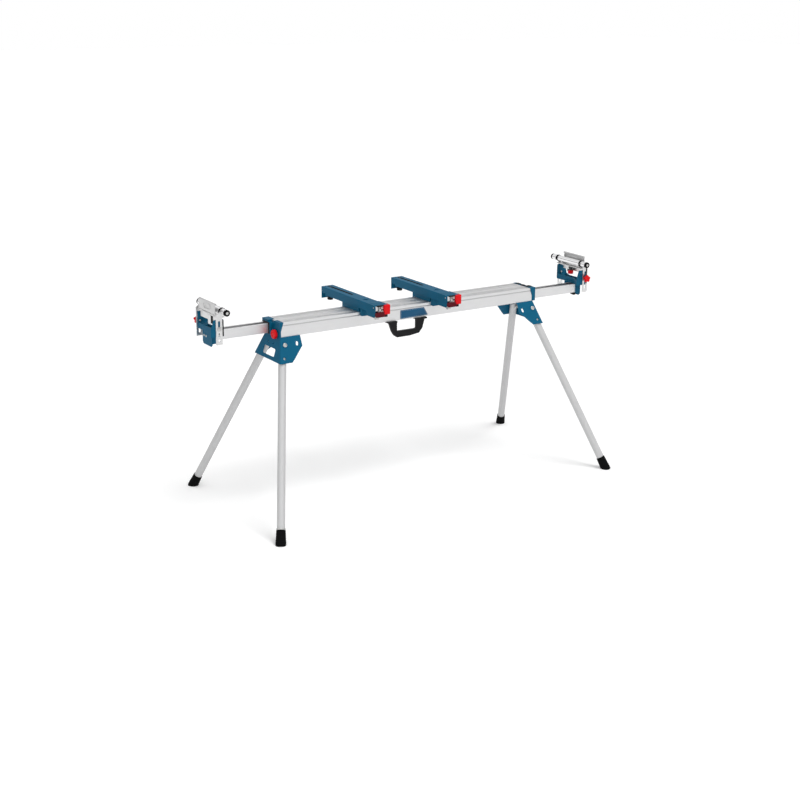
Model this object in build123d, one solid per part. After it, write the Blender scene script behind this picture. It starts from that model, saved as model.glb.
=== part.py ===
from build123d import *
import math
import os

# Folding stand for a miter saw, in millimetres.
# X runs along the beam, Y to the back, Z up. The origin lies on the ground under the beam's middle.

# Beam
beam_length = 1250.0
beam_width = 120.0
beam_height = 58.0
beam_top = 778.0
beam_wall = 3.0
beam_deck = 8.0
deck_groove_width = 8.0
deck_groove_depth = 4.0
deck_groove_place_share = 0.64
deck_line_width = 4.0
deck_line_depth = 2.0
deck_line_place_share = 0.24
side_groove_width = 4.6
side_groove_depth = 1.6
side_groove_drop = 10.0
overrun = 5.0
fit_gap = 0.15
run_gap = 0.4
shaft_gap = 0.05
edge_round = 1.5

# Leg set: the pivot lies under the beam's corner, the foot out from it
pivot_inset_x = 6.0
pivot_inset_y = 1.2
pivot_drop = 37.0
foot_reach_x = 199.0
foot_reach_y = 329.2
leg_radius = 16.0
leg_wall = 2.0
leg_gap = 1.5
fold_inward_angle = 2.55
fold_drop_angles = {"left": 0.0, "right": 5.6}

# Rubber feet
foot_length = 57.0
foot_top_radius = 18.6
foot_waist_radius = 20.0
foot_radius = 21.2
foot_waist_share = 0.35
foot_lip = 8.0
foot_tube_depth = 36.0
foot_round = 3.0
stud_radius = 6.0
stud_length = 70.0
stud_plug_length = 30.0
stud_collar_radius = 17.4
stud_collar_height = 4.0

# Leg brackets of bent sheet
sheet = 3.0
bend_round = 2.0
bracket_depth = 94.0
bracket_reach = 83.0
bracket_edge_height = 38.0
bracket_foot_width = 48.0
bracket_foot_rise = 10.0
bracket_corner_cut = 12.0
window_width = 94.0
window_height = 32.0
window_rise = 14.0
window_round = 6.0
vent_width = 10.0
vent_height = 6.0
vent_spacing = 40.0
vent_drop = 31.0

# Hinge pins, lock buttons and bracket bolts
pin_radius = 5.0
pin_head_radius = 9.0
pin_head_height = 4.0
pin_nut_width = 17.0
pin_nut_height = 7.0
button_radius = 4.0
button_flange_radius = 5.5
button_flange_height = 2.0
button_length = 8.0
button_reach = 55.0
button_hole_radius = 5.5
detent_length = 18.0
detent_width = 11.0
bolt_head_width = 13.0
bolt_head_height = 5.0
bolt_spread_x = 44.0
bolt_spread_y = 26.0

# Arms in the beam's two channels
arm_width = 43.0
arm_height = 38.0
arm_wall = 2.5
arm_mouth = 25.0
arm_length = 1200.0
arm_reach = 279.5
arm_seat_gap = 0.3
glide_thickness = 12.0
glide_plug = 30.0

# End castings and arm bushes
casting_depth = 18.0
casting_skin = 1.5
casting_skin_reach = 11.0
casting_skin_foot = 8.0
casting_notch_width = 26.0
casting_notch_depth = 9.0
casting_knob_plate = 6.0
casting_step = 5.0
bush_length = 36.0
bush_nose = 3.0
bush_nose_lip = 1.6
arm_knob_radius = 18.5
arm_knob_height = 13.0
arm_knob_dish = 2.0
arm_knob_drop = 49.0
arm_knob_flutes = 10
arm_knob_flute_radius = 2.6
arm_knob_hub_radius = 8.0
arm_knob_hub_height = 2.0
arm_knob_screw_radius = 4.0
arm_knob_screw_length = 20.0

# Carry handle
handle_depth = 17.0
handle_front = 71.0
handle_flange_depth = 34.0
handle_flange_thickness = 6.0
handle_left = -129.0
handle_right = 62.0
handle_grip_drop = 70.0
handle_outer_round = 10.0
handle_inner_round = 5.0
handle_edge_round = 4.0
handle_opening_left = -86.0
handle_opening_right = 10.0
handle_opening_drop = 43.0
handle_outline_shares = [
    (0.025, 0.0), (0.10, 0.6), (0.155, 0.84), (0.23, 1.0),
    (0.55, 1.0), (0.80, 0.9), (0.885, 0.6), (0.945, 0.0),
]

# Work supports at the arms' ends, given for the right one
side_plate_face = 84.5
side_plate_thickness = 3.5
side_plate_height = 66.2
side_plate_shoulder = 24.2
side_plate_setback = 6.0
side_plate_upright = 13.5
side_plate_top_reach = 27.0
side_plate_foot_reach = 40.0
side_plate_bend = 30.0
saddle_thickness = 6.0
saddle_round = 26.0
saddle_rib_height = 17.0
saddle_rib_thickness = 5.0
tail_thickness = 3.0
tail_front = 54.0
tail_back = 27.0
tail_flange_length = 26.0
tail_flange_rise = 12.0
tail_drop = 54.0
tail_chamfer = 8.0
tail_screw_spread = 18.0
tail_screw_radius = 4.5
tail_screw_height = 3.0
catch_length = 20.0
catch_width = 20.0
catch_height = 12.0
catch_setback = 16.5

# Height carriers of the work supports
carrier_width = 27.0
carrier_sheet = 2.5
carrier_gap = 0.3
carrier_below_clamp = 62.0
carrier_shoulder_drop = 12.0
carrier_slot_foot = 12.0
carrier_slot_head = 11.0
carrier_strap_lift = 6.5
carrier_strap_margin = 8.0
carrier_apron_drop = 22.0
carrier_apron_inset = 15.5
ear_radius = 10.0
ear_slant_angle = 45.0
clamp_rise = 30.2
clamp_radius = 4.0
clamp_gap = 0.2

# Rollers
roller_setback = 18.5
roller_rise = 21.0
roller_radius = 12.5
roller_wall = 1.5
roller_stub_length = 23.7
roller_gap = 1.0
roller_axle_radius = 4.0
roller_cap = 10.0
roller_cap_dimple = 4.0
ring_radius = 14.0
ring_width = 10.0
ring_inset = 6.0

# Flip-up stops
stop_hinge_offset = 6.5
stop_hinge_rise = 3.0
stop_pin_radius = 2.5
stop_knuckle_radius = 4.5
stop_knuckle_length = 18.0
stop_knuckle_spread = 50.0
stop_inset = 14.5
stop_thickness = 2.5
stop_height = 48.0
stop_curl_radius = 3.6
stop_window_length = 54.0
stop_window_height = 20.0
stop_window_rise = 26.0
stop_window_rim = 3.0
stop_window_rim_height = 1.2
stop_knob_setback = 11.5
stop_knob_radius = 11.0
stop_knob_height = 16.0
stop_knob_drop = 20.5
stop_knob_lobes = 6
stop_knob_lobe_radius = 3.2
stop_nut_width = 14.0
stop_nut_height = 9.0
stop_screw_radius = 3.0

# Star knobs that clamp the height
star_radius = 15.0
star_lobes = 5
star_lobe_radius = 4.6
star_core_radius = 10.5
star_height = 12.0
star_hub_radius = 6.0
star_hub_height = 8.0

# Saw mounts across the beam
mount_places = {"left": -240.5, "right": 108.5}
rail_width = 57.0
rail_rise = 52.0
rail_side_height = 33.0
rail_deck = 3.0
rail_wall = 2.5
rail_back = 236.0
rail_front = 122.0
rail_end_drop = 50.0
rail_notch_length = 28.0
rail_notch_rise = 7.0
slot_width = 9.0
slot_back = 226.0
slot_front = 32.0
cross_place = 70.0
cross_length = 30.0
cross_width = 7.0
cross_depth = 22.0
pad_gap = 0.3
saddle_block_width = 48.0
saddle_inset = 6.0
saddle_wall = 6.0
hook_thickness = 14.0
hook_lip = 1.2
hook_drop = 14.5
hook_lip_height = 4.0
housing_width = 61.0
housing_front = 188.0
housing_rise = 1.0
housing_drop = 50.0
housing_wall = 4.0
housing_round = 3.0
housing_tongue = 24.0
jaw_width = 40.0
rod_radius = 4.0
rod_drop = 24.0
rod_front = 172.0
claw_width = 16.0
claw_height = 16.0
claw_depth = 4.0
claw_notch_width = 9.0
claw_notch_height = 6.0
lever_pin_radius = 3.0
lever_pin_depth = 11.0
lever_face_gap = 1.0
lever_cam_radius = 4.0
lever_cam_throw = 1.5
lever_cam_width = 12.0
lever_thickness = 11.0
lever_left = 23.5
lever_right = 42.5
lever_drop = 47.0
lever_window_left = 20.0
lever_window_right = 22.0
lever_window_top = 7.0
lever_window_bottom = 29.5
lever_round = 3.0
lever_side_gap = 0.7
saw_bolt_place = 212.0
saw_bolt_radius = 4.0
washer_width = 20.0
washer_thickness = 3.0
saw_knob_radius = 12.0
saw_knob_height = 13.0
saw_knob_hub_radius = 7.0
saw_knob_hub_height = 10.0
saw_knob_flutes = 8
saw_knob_flute_radius = 2.4

# Places worked out from the sizes above
beam_end = beam_length / 2
arm_end = beam_end + arm_reach
beam_side = beam_width / 2
beam_bottom = beam_top - beam_height
channel_width = (beam_width - 3 * beam_wall) / 2
channel_height = beam_height - beam_deck - beam_wall
channel_middle = (channel_width + beam_wall) / 2
channel_centre_z = beam_bottom + beam_wall + channel_height / 2
arm_bottom = channel_centre_z - arm_height / 2
arm_top = arm_bottom + arm_height
pivot_x = beam_end - pivot_inset_x
pivot_y = beam_side - pivot_inset_y
pivot_z = beam_bottom - pivot_drop
leg_length = math.sqrt(foot_reach_x**2 + foot_reach_y**2 + pivot_z**2)
slope_x = foot_reach_x / pivot_z
slope_y = foot_reach_y / pivot_z
lean_x = math.sqrt(1 + slope_x**2)
lean_y = math.sqrt(1 + slope_y**2)
groove_centre_z = beam_top - side_groove_drop - side_groove_width / 2
rail_top = beam_top + rail_rise
rail_bottom = rail_top - rail_side_height
lever_pin_y = lever_pin_depth - housing_front
lever_pin_z = rail_top + housing_rise - lever_pin_depth
seat_z = arm_top + arm_seat_gap
side_plate_top = seat_z + side_plate_height
clamp_z = seat_z + clamp_rise
strap_z = side_plate_top + carrier_strap_lift
strap_top = strap_z + carrier_sheet
roller_x = arm_end - roller_setback
roller_z = strap_top + roller_rise
roller_stub_start = side_plate_face + carrier_gap + carrier_sheet + roller_gap
roller_end = roller_stub_start + roller_stub_length
roller_length = 2 * (roller_end + roller_cap)
hinge_x = arm_end + stop_hinge_offset
hinge_z = strap_top + stop_hinge_rise
stop_knob_x = arm_end - stop_knob_setback

low = (Align.CENTER, Align.CENTER, Align.MIN)


def block(x0, x1, y0, y1, z0, z1):
    """Box between two corners."""
    return Pos((x0 + x1) / 2, (y0 + y1) / 2, (z0 + z1) / 2) * Box(x1 - x0, y1 - y0, z1 - z0)


def along(start, direction, shape):
    """Shape built up the Z axis, set at start so that its Z points along direction."""
    return Plane(origin=start, z_dir=direction).location * shape


def facing(start, direction, across, shape):
    """Shape built in XY, set at start: its Z along direction and its X along across."""
    return Plane(origin=start, x_dir=across, z_dir=direction).location * shape


def rod(start, direction, radius, length):
    """Round bar from start along direction."""
    return along(start, direction, Cylinder(radius, length, align=low))


def hexagon(width, length):
    """Hexagon bar up the Z axis, width across its flats."""
    return extrude(RegularPolygon(width / 2, 6, major_radius=False), length)


def hex_bar(start, direction, width, length):
    """Hexagon bar from start along direction."""
    return along(start, direction, hexagon(width, length))


def prism_y(points, y0, y1):
    """Outline of (x, z) points, extruded from y0 to y1."""
    face = make_face(Polyline(*[(x, 0, z) for x, z in points], close=True))
    return extrude(Pos(0, y1, 0) * face, y1 - y0, dir=(0, -1, 0))


def unit(vector):
    """Vector of length one in the same direction."""
    size = math.sqrt(sum(part * part for part in vector))
    return tuple(part / size for part in vector)


def cross_product(a, b):
    """Vector square to both."""
    return (a[1] * b[2] - a[2] * b[1], a[2] * b[0] - a[0] * b[2], a[0] * b[1] - a[1] * b[0])


class Leg:
    """Where one leg lies open and folded, and the axis that it turns about."""

    def __init__(self, side, end):
        self.sx = {"left": -1, "right": 1}[side]
        self.sy = {"front": -1, "rear": 1}[end]
        self.pivot = (self.sx * pivot_x, self.sy * pivot_y, pivot_z)
        self.down = unit((self.sx * foot_reach_x, self.sy * foot_reach_y, -pivot_z))
        inward = math.radians(fold_inward_angle)
        drop = math.radians(fold_drop_angles[side])
        self.folded = (
            -self.sx * math.cos(inward) * math.cos(drop),
            -self.sy * math.sin(inward) * math.cos(drop),
            -math.sin(drop),
        )
        self.axis = unit(cross_product(self.down, self.folded))
        out = math.copysign(1, self.axis[1] * self.sy)
        self.out = tuple(out * part for part in self.axis)

    def wing_distance(self, depth, radius):
        """How far along the pin a disc of this radius clears a wall at depth from the pivot."""
        normal = unit((0, self.sy, slope_y))
        lean = sum(a * b for a, b in zip(self.out, normal))
        return depth / lean + radius * math.sqrt(1 - lean**2) / lean

    def frame(self):
        """Frame at the pivot: X out through the wing, Z up the leg."""
        return Plane(origin=self.pivot, x_dir=self.out, z_dir=tuple(-part for part in self.down))

    def place(self, shape):
        """Shape built about the Z axis, set along the open leg with its pivot at the origin."""
        return self.frame().location * shape


legs = {f"{end}_{side}": Leg(side, end) for side in ("left", "right") for end in ("front", "rear")}
adjustable_leg = "front_left"


# Beam
def make_beam():
    """Extruded beam: two side-by-side channels, a grooved deck and a clamping groove in each side."""
    outline = Rectangle(beam_width, beam_height)
    for sign in (-1, 1):
        channel = Rectangle(channel_width, channel_height)
        outline -= Pos(sign * channel_middle, (beam_wall - beam_deck) / 2) * channel
        groove_y = sign * beam_side * deck_groove_place_share
        outline -= Pos(groove_y, beam_height / 2) * Rectangle(deck_groove_width, 2 * deck_groove_depth)
        line_y = sign * beam_side * deck_line_place_share
        outline -= Pos(line_y, beam_height / 2) * Rectangle(deck_line_width, 2 * deck_line_depth)
        side_z = groove_centre_z - beam_bottom - beam_height / 2
        outline -= Pos(sign * beam_side, side_z) * Rectangle(2 * side_groove_depth, side_groove_width)
    profile = Plane.YZ * Pos(0, beam_bottom + beam_height / 2) * outline
    return Pos(-beam_end, 0, 0) * extrude(profile, beam_length)


# Leg brackets
def bracket_outline(offset, top, bottom, near):
    """Frustum whose end and side walls lie outside the leg axis by offset, square to each wall."""
    faces = []
    for z in (bottom, top):
        far = pivot_x + offset * lean_x + slope_x * (pivot_z - z)
        half = pivot_y + offset * lean_y + slope_y * (pivot_z - z)
        faces.append(Pos((near + far) / 2, 0, z) * Rectangle(far - near, 2 * half))
    return loft(faces, ruled=True)


def make_bracket_sheet():
    """Sheet bent into a top plate, a sloped end plate and two splayed wings, before its holes."""
    inner = leg_radius + leg_gap
    bottom = beam_bottom - bracket_depth
    near = beam_end - bracket_reach
    body = bracket_outline(inner + sheet, beam_bottom, bottom, near)
    corners = [e for e in body.edges() if e.center().X > pivot_x and bottom < e.center().Z - sheet < pivot_z]
    body = fillet(corners, sheet + bend_round)
    hollow = bracket_outline(inner, beam_bottom - sheet, bottom - sheet, near - overrun)
    corners = [e for e in hollow.edges() if e.center().X > pivot_x and bottom < e.center().Z < pivot_z]
    body -= fillet(corners, bend_round)
    knee = near + bracket_foot_width
    diagonal = [
        (near - overrun, beam_bottom - bracket_edge_height),
        (near, beam_bottom - bracket_edge_height),
        (knee, bottom + bracket_foot_rise),
        (knee + bracket_corner_cut, bottom),
        (knee + bracket_corner_cut, bottom - overrun),
        (near - overrun, bottom - overrun),
    ]
    body -= prism_y(diagonal, -beam_width, beam_width)
    window = extrude(RectangleRounded(window_width, window_height, window_round), bracket_reach)
    window_z = bottom + window_rise + window_height / 2
    body -= facing((beam_end - overrun, 0, window_z), (1, 0, 0), (0, 1, 0), window)
    vent = extrude(SlotOverall(vent_width, vent_height), bracket_reach)
    for sign in (-1, 1):
        start = (beam_end - overrun, sign * vent_spacing / 2, beam_bottom - vent_drop)
        body -= facing(start, (1, 0, 0), (0, 1, 0), vent)
    return body


def make_bracket(side):
    """Leg bracket with its pin holes and the holes that the lock buttons spring into."""
    body = make_bracket_sheet()
    if side == "left":
        body = mirror(body, Plane.YZ)
    reach = leg_radius + leg_gap + 2 * sheet + overrun
    for end in ("front", "rear"):
        leg = legs[f"{end}_{side}"]
        body -= rod(leg.pivot, leg.out, pin_radius, reach)
        lock = tuple(p + button_reach * d for p, d in zip(leg.pivot, leg.down))
        body -= rod(lock, leg.out, button_hole_radius, reach)
        lock = tuple(p + button_reach * d for p, d in zip(leg.pivot, leg.folded))
        oblong = extrude(SlotOverall(detent_length, detent_width), reach)
        body -= facing(lock, leg.out, leg.down, oblong)
    return body


def make_pins_and_bolts():
    """Hinge pins with domed heads and nuts, and the bolts that hold the brackets to the beam."""
    solids = []
    for leg in legs.values():
        seat = leg.wing_distance(leg_radius + leg_gap + sheet, pin_head_radius)
        inner_end = -(leg_radius + leg_gap + pin_nut_height)
        shaft = Pos(0, 0, inner_end) * Cylinder(pin_radius - shaft_gap, seat - inner_end, align=low)
        dome = Pos(0, 0, seat) * Cylinder(pin_head_radius, pin_head_height, align=low)
        dome = fillet(dome.edges().sort_by(Axis.Z)[-1], pin_head_height / 2)
        nut = Pos(0, 0, inner_end) * hexagon(pin_nut_width, pin_nut_height)
        solids.append(along(leg.pivot, leg.out, shaft + dome + nut))
    for sx in (-1, 1):
        for sy in (-1, 1):
            for along_x in (-1, 1):
                x = sx * (beam_end - bracket_reach / 2) + along_x * bolt_spread_x / 2
                top = (x, sy * bolt_spread_y / 2, beam_bottom - sheet)
                solids.append(hex_bar(top, (0, 0, -1), bolt_head_width, bolt_head_height))
    return solids


# Legs
def make_leg_tube(name):
    """Round tube with its top rounded about the pivot, a pin hole and a button hole."""
    leg = legs[name]
    adjustable = name == adjustable_leg
    end = foot_length + run_gap if adjustable else foot_length - foot_tube_depth
    length = leg_length - end + leg_radius
    down = Pos(0, 0, leg_radius - length)
    tube = down * Cylinder(leg_radius, length, align=low)
    crown = rod((-2 * leg_radius, 0, 0), (1, 0, 0), leg_radius, 4 * leg_radius)
    crown += down * Box(4 * leg_radius, 2 * leg_radius, length - leg_radius, align=low)
    tube &= crown
    bore = down * Cylinder(leg_radius - leg_wall, length, align=low)
    if adjustable:
        bottom = leg_radius - length
        plug = Pos(0, 0, bottom) * Cylinder(leg_radius - leg_wall, stud_plug_length, align=low)
        bore -= plug
        bore += Pos(0, 0, bottom - overrun) * Cylinder(
            stud_radius + shaft_gap, stud_plug_length + 2 * overrun, align=low
        )
        tube += Pos(0, 0, bottom) * Cylinder(stud_collar_radius, stud_collar_height, align=low)
    tube -= bore
    tube -= rod((-2 * leg_radius, 0, 0), (1, 0, 0), pin_radius, 4 * leg_radius)
    tube -= rod((0, 0, -button_reach), (1, 0, 0), button_radius + shaft_gap, 2 * leg_radius)
    return leg.place(tube)


def make_foot(name):
    """Rubber foot, cut level where it stands on the ground."""
    leg = legs[name]
    top = foot_length
    waist = foot_length * foot_waist_share
    points = [
        (0, 0, -foot_lip),
        (foot_radius - foot_round, 0, -foot_lip),
        (foot_radius, 0, foot_round - foot_lip),
        (foot_radius, 0, waist - foot_round),
        (foot_waist_radius, 0, waist),
        (foot_top_radius, 0, top - foot_round),
        (foot_top_radius - foot_round, 0, top),
        (0, 0, top),
    ]
    foot = revolve(make_face(Polyline(*points, close=True)), Axis.Z)
    if name == adjustable_leg:
        foot -= Pos(0, 0, top - foot_tube_depth) * Cylinder(stud_radius, foot_tube_depth, align=low)
    else:
        foot -= Pos(0, 0, top - foot_tube_depth) * Cylinder(leg_radius, foot_tube_depth, align=low)
    foot = leg.place(Pos(0, 0, -leg_length) * foot)
    ground = Pos(leg.sx * (pivot_x + foot_reach_x), leg.sy * (pivot_y + foot_reach_y), 0) * Box(
        4 * foot_length, 4 * foot_length, 2 * foot_length, align=(Align.CENTER, Align.CENTER, Align.MAX)
    )
    return foot - ground


def make_foot_stud():
    """Screw of the foot that takes up an uneven floor."""
    leg = legs[adjustable_leg]
    start = foot_length - foot_tube_depth - leg_length
    return leg.place(Pos(0, 0, start) * Cylinder(stud_radius, stud_length, align=low))


def make_leg_button(name):
    """Spring button that locks the leg through the bracket's wing."""
    tip = leg_radius + leg_gap / 2
    start = (tip - button_length, 0, -button_reach)
    button = rod(start, (1, 0, 0), button_radius, button_length)
    button += rod(start, (1, 0, 0), button_flange_radius, button_flange_height)
    return legs[name].place(button)


# Arm, bush, casting and clamp knob of the right end
def make_arm():
    """Extruded arm, open along its top, in the front channel."""
    y = -channel_middle
    inner = arm_end - arm_length
    arm = block(inner, arm_end, y - arm_width / 2, y + arm_width / 2, arm_bottom, arm_top)
    hollow = arm_width / 2 - arm_wall
    start = inner - overrun
    stop = arm_end + overrun
    arm -= block(start, stop, y - hollow, y + hollow, arm_bottom + arm_wall, arm_top - arm_wall)
    mouth = arm_mouth / 2
    arm -= block(start, stop, y - mouth, y + mouth, arm_top - arm_wall - overrun, arm_top + overrun)
    return arm


def make_arm_glide():
    """Plastic block that caps the arm's inner end and runs in the channel."""
    y = -channel_middle
    inner = arm_end - arm_length
    half_y = channel_width / 2 - run_gap
    half_z = channel_height / 2 - run_gap
    bottom = channel_centre_z - half_z
    top = channel_centre_z + half_z
    plate = block(inner - glide_thickness, inner, y - half_y, y + half_y, bottom, top)
    plate = fillet(plate.edges().filter_by(Axis.X), edge_round)
    plug_half = arm_width / 2 - arm_wall - fit_gap
    plug = block(
        inner - fit_gap, inner + glide_plug, y - plug_half, y + plug_half,
        arm_bottom + arm_wall + fit_gap, arm_top - arm_wall - fit_gap,
    )
    return plate + plug


def make_arm_bush():
    """Plastic bush at the channel's mouth, with a tapered nose around the arm."""
    y = -channel_middle
    half_y = channel_width / 2 - fit_gap
    half_z = channel_height / 2 - fit_gap
    mouth = beam_end + casting_depth
    bottom = channel_centre_z - half_z
    top = channel_centre_z + half_z
    sleeve = block(beam_end - bush_length, mouth, y - half_y, y + half_y, bottom, top)
    wide = Plane(origin=(mouth, y, channel_centre_z), x_dir=(0, 1, 0), z_dir=(1, 0, 0))
    tip = Plane(origin=(mouth + bush_nose, y, channel_centre_z), x_dir=(0, 1, 0), z_dir=(1, 0, 0))
    nose_y = 2 * half_y
    nose_z = 2 * half_z
    tip_y = arm_width + 2 * (run_gap + bush_nose_lip)
    tip_z = arm_height + 2 * (run_gap + bush_nose_lip)
    nose = loft([wide * Rectangle(nose_y, nose_z), tip * Rectangle(tip_y, tip_z)], ruled=True)
    hole_y = arm_width / 2 + run_gap
    hole_z = arm_height / 2 + run_gap
    hole = block(
        beam_end - bush_length - overrun, mouth + bush_nose + overrun, y - hole_y, y + hole_y,
        channel_centre_z - hole_z, channel_centre_z + hole_z,
    )
    return sleeve + nose - hole


def make_end_casting():
    """Cast end piece: arm opening, set-back plate that carries the knob, notched top, slanting skins."""
    half = beam_side + casting_skin
    top = beam_top + casting_skin
    outer = beam_end + casting_depth
    skin = [
        (beam_end - casting_skin_reach, top),
        (outer, top),
        (outer, beam_bottom),
        (beam_end + casting_skin_foot, beam_bottom),
    ]
    body = prism_y(skin, -half, half)
    body = fillet(body.edges().filter_by(Axis.X), edge_round)
    body += block(beam_end, outer, -beam_side, beam_side, beam_bottom, beam_top)
    body -= block(
        beam_end - casting_skin_reach - overrun, beam_end, -beam_side - fit_gap, beam_side + fit_gap,
        beam_bottom - overrun, beam_top + fit_gap,
    )
    notch = casting_notch_width / 2
    body -= block(
        beam_end - casting_skin_reach - overrun, outer + overrun, -notch, notch,
        top - casting_notch_depth, top + overrun,
    )
    half_y = channel_width / 2
    half_z = channel_height / 2
    body -= block(
        beam_end - overrun, outer + overrun, -channel_middle - half_y, half_y - channel_middle,
        channel_centre_z - half_z, channel_centre_z + half_z,
    )
    body -= block(
        beam_end + casting_knob_plate, outer + overrun, casting_step, half + overrun,
        beam_bottom - overrun, top + overrun,
    )
    start = (beam_end - overrun, channel_middle, beam_top - arm_knob_drop)
    body -= rod(start, (1, 0, 0), arm_knob_screw_radius + shaft_gap, casting_depth + 2 * overrun)
    return body


def fluted(radius, height, count, flute):
    """Round grip with flutes around it, its edges rounded."""
    grip = Cylinder(radius, height, align=low)
    grip = fillet(grip.edges().filter_by(GeomType.CIRCLE), edge_round)
    for turn in range(count):
        grip -= Rot(0, 0, 360 * turn / count) * Pos(radius + flute / 2, 0, -overrun) * Cylinder(
            flute, height + 2 * overrun, align=low
        )
    return grip


def make_arm_knob():
    """Round knob on a screw that clamps the arm."""
    start = arm_knob_hub_height
    knob = Pos(0, 0, start) * fluted(
        arm_knob_radius, arm_knob_height, arm_knob_flutes, arm_knob_flute_radius
    )
    top = start + arm_knob_height
    dish = Cylinder(arm_knob_radius / 2, arm_knob_dish + overrun, align=low)
    knob -= Pos(0, 0, top - arm_knob_dish) * dish
    knob += Pos(0, 0, shaft_gap) * Cylinder(arm_knob_hub_radius, arm_knob_hub_height, align=low)
    knob += Pos(0, 0, -arm_knob_screw_length) * Cylinder(
        arm_knob_screw_radius, arm_knob_screw_length + arm_knob_hub_height, align=low
    )
    face = (beam_end + casting_knob_plate, channel_middle, beam_top - arm_knob_drop)
    return along(face, (1, 0, 0), knob)


# Carry handle
def make_handle():
    """Moulded handle under the beam's front edge, a finger opening between two mounting feet."""
    top = beam_bottom - fit_gap
    foot = top - handle_flange_thickness
    width = handle_right - handle_left
    grip_bottom = beam_bottom - handle_grip_drop
    drop = foot - grip_bottom
    outline = [(handle_left + u * width, foot - v * drop) for u, v in handle_outline_shares]
    outline = [(outline[0][0], top)] + outline + [(outline[-1][0], top)]
    back = handle_depth - handle_front
    body = prism_y(outline, -handle_front, back)
    body = fillet(body.edges().filter_by(Axis.Y).group_by(Axis.Z)[0], handle_outer_round)
    opening = block(
        handle_opening_left, handle_opening_right, -handle_front - overrun, back + overrun,
        beam_bottom - handle_opening_drop, top + overrun,
    )
    opening = fillet(opening.edges().filter_by(Axis.Y).group_by(Axis.Z)[0], handle_inner_round)
    body -= opening
    rims = body.faces().filter_by(Axis.Y).edges()
    body = fillet([e for e in rims if e.center().Z < foot - handle_edge_round], handle_edge_round)
    for left, right in ((handle_left, handle_opening_left), (handle_opening_right, handle_right)):
        body += block(left, right, -handle_front, handle_flange_depth - handle_front, foot, top)
    return body


# Work support of the right arm
def make_support_bracket():
    """Cast bracket: two upright side plates on a dished saddle, and a tail around the arm's end."""
    face = side_plate_face
    inner = face - side_plate_thickness
    floor = seat_z + saddle_thickness
    outline = Pos(0, (side_plate_top + seat_z) / 2) * Rectangle(2 * face, side_plate_height)
    hollow = Pos(0, floor) * Rectangle(2 * inner, 2 * side_plate_height, align=(Align.CENTER, Align.MIN))
    outline -= fillet(hollow.vertices().group_by(Axis.Y)[0], saddle_round)
    centre = arm_end - side_plate_setback
    foot = side_plate_foot_reach
    body = Pos(centre - foot, 0, 0) * extrude(Plane.YZ * outline, 2 * foot)
    body &= make_cheek() + Pos(2 * centre, 0, 0) * Rot(0, 0, 180) * make_cheek()
    plan = make_support_plan()
    rib = plan - offset(plan, -saddle_rib_thickness, kind=Kind.INTERSECTION)
    walls = extrude(rib, floor + saddle_rib_height - seat_z)
    body = (body & extrude(plan, side_plate_height)) + walls
    body += make_support_tail()
    for sign in (-1, 1):
        body -= rod((arm_end, 0, clamp_z), (0, sign, 0), clamp_radius + shaft_gap, 2 * face)
    return body


def make_support_plan():
    """Outline of the bracket at its seat: each side plate reaches out to its own side."""
    points = []
    for sign in (-1, 1):
        points += [
            (-sign * side_plate_foot_reach, -sign * side_plate_face),
            (sign * side_plate_upright, -sign * side_plate_face),
            (sign * side_plate_upright, sign * side_plate_bend),
        ]
    centre = arm_end - side_plate_setback
    return Pos(centre, 0, seat_z) * make_face(Polyline(*points, close=True))


def make_cheek():
    """Half of the space that the bracket fills: the rear one, with its side plate's slanting edge."""
    centre = arm_end - side_plate_setback
    foot = side_plate_foot_reach
    cheek = [
        (centre - foot, seat_z),
        (centre + foot, seat_z),
        (centre + foot, seat_z + side_plate_shoulder),
        (centre + side_plate_top_reach, side_plate_top),
        (centre - foot, side_plate_top),
    ]
    return prism_y(cheek, 0, side_plate_face)


def make_support_tail():
    """Tail of the bracket: a plate over the arm's end between two flanges."""
    plate = arm_end + fit_gap
    outer = plate + tail_thickness
    near = outer - tail_flange_length
    bottom = arm_top - tail_drop
    tail = block(near, outer, -tail_front, tail_back, bottom, seat_z + saddle_thickness)
    tail = chamfer(tail.edges().filter_by(Axis.X).group_by(Axis.Z)[0], tail_chamfer)
    front = tail_thickness - tail_front
    back = tail_back - tail_thickness
    tail -= block(near - overrun, plate, front, back, bottom - overrun, seat_z)
    flange_foot = bottom + tail_flange_rise
    tail -= block(near - overrun, plate, -tail_front, tail_back, bottom - overrun, flange_foot)
    return tail


def make_support_fasteners():
    """Guide bolt on the plain side, two screws in the arm's end and the catch under the arm."""
    inner = side_plate_face - side_plate_thickness
    bolt_end = side_plate_face + 2 * carrier_gap + carrier_sheet
    start = inner - clamp_radius
    bolt = Pos(0, 0, start) * Cylinder(clamp_radius, bolt_end - start, align=low)
    bolt += Pos(0, 0, bolt_end) * hexagon(bolt_head_width, bolt_head_height)
    solids = [along((arm_end, 0, clamp_z), (0, 1, 0), bolt)]
    face_x = arm_end + fit_gap + tail_thickness
    for sign in (-1, 1):
        head = Cylinder(tail_screw_radius, tail_screw_height, align=low)
        head = fillet(head.edges().sort_by(Axis.Z)[-1], tail_screw_height / 2)
        start = (face_x, sign * tail_screw_spread / 2 - channel_middle, channel_centre_z)
        solids.append(along(start, (1, 0, 0), head))
    right = arm_end - catch_setback
    front = -channel_middle - arm_width / 2
    bottom = arm_bottom - catch_height
    catch = block(right - catch_length, right, front, front + catch_width, bottom, arm_bottom - fit_gap)
    catch = chamfer(catch.edges().filter_by(Axis.Y).group_by(Axis.Z)[0], catch_height / 2)
    solids.append(catch)
    return solids


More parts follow.
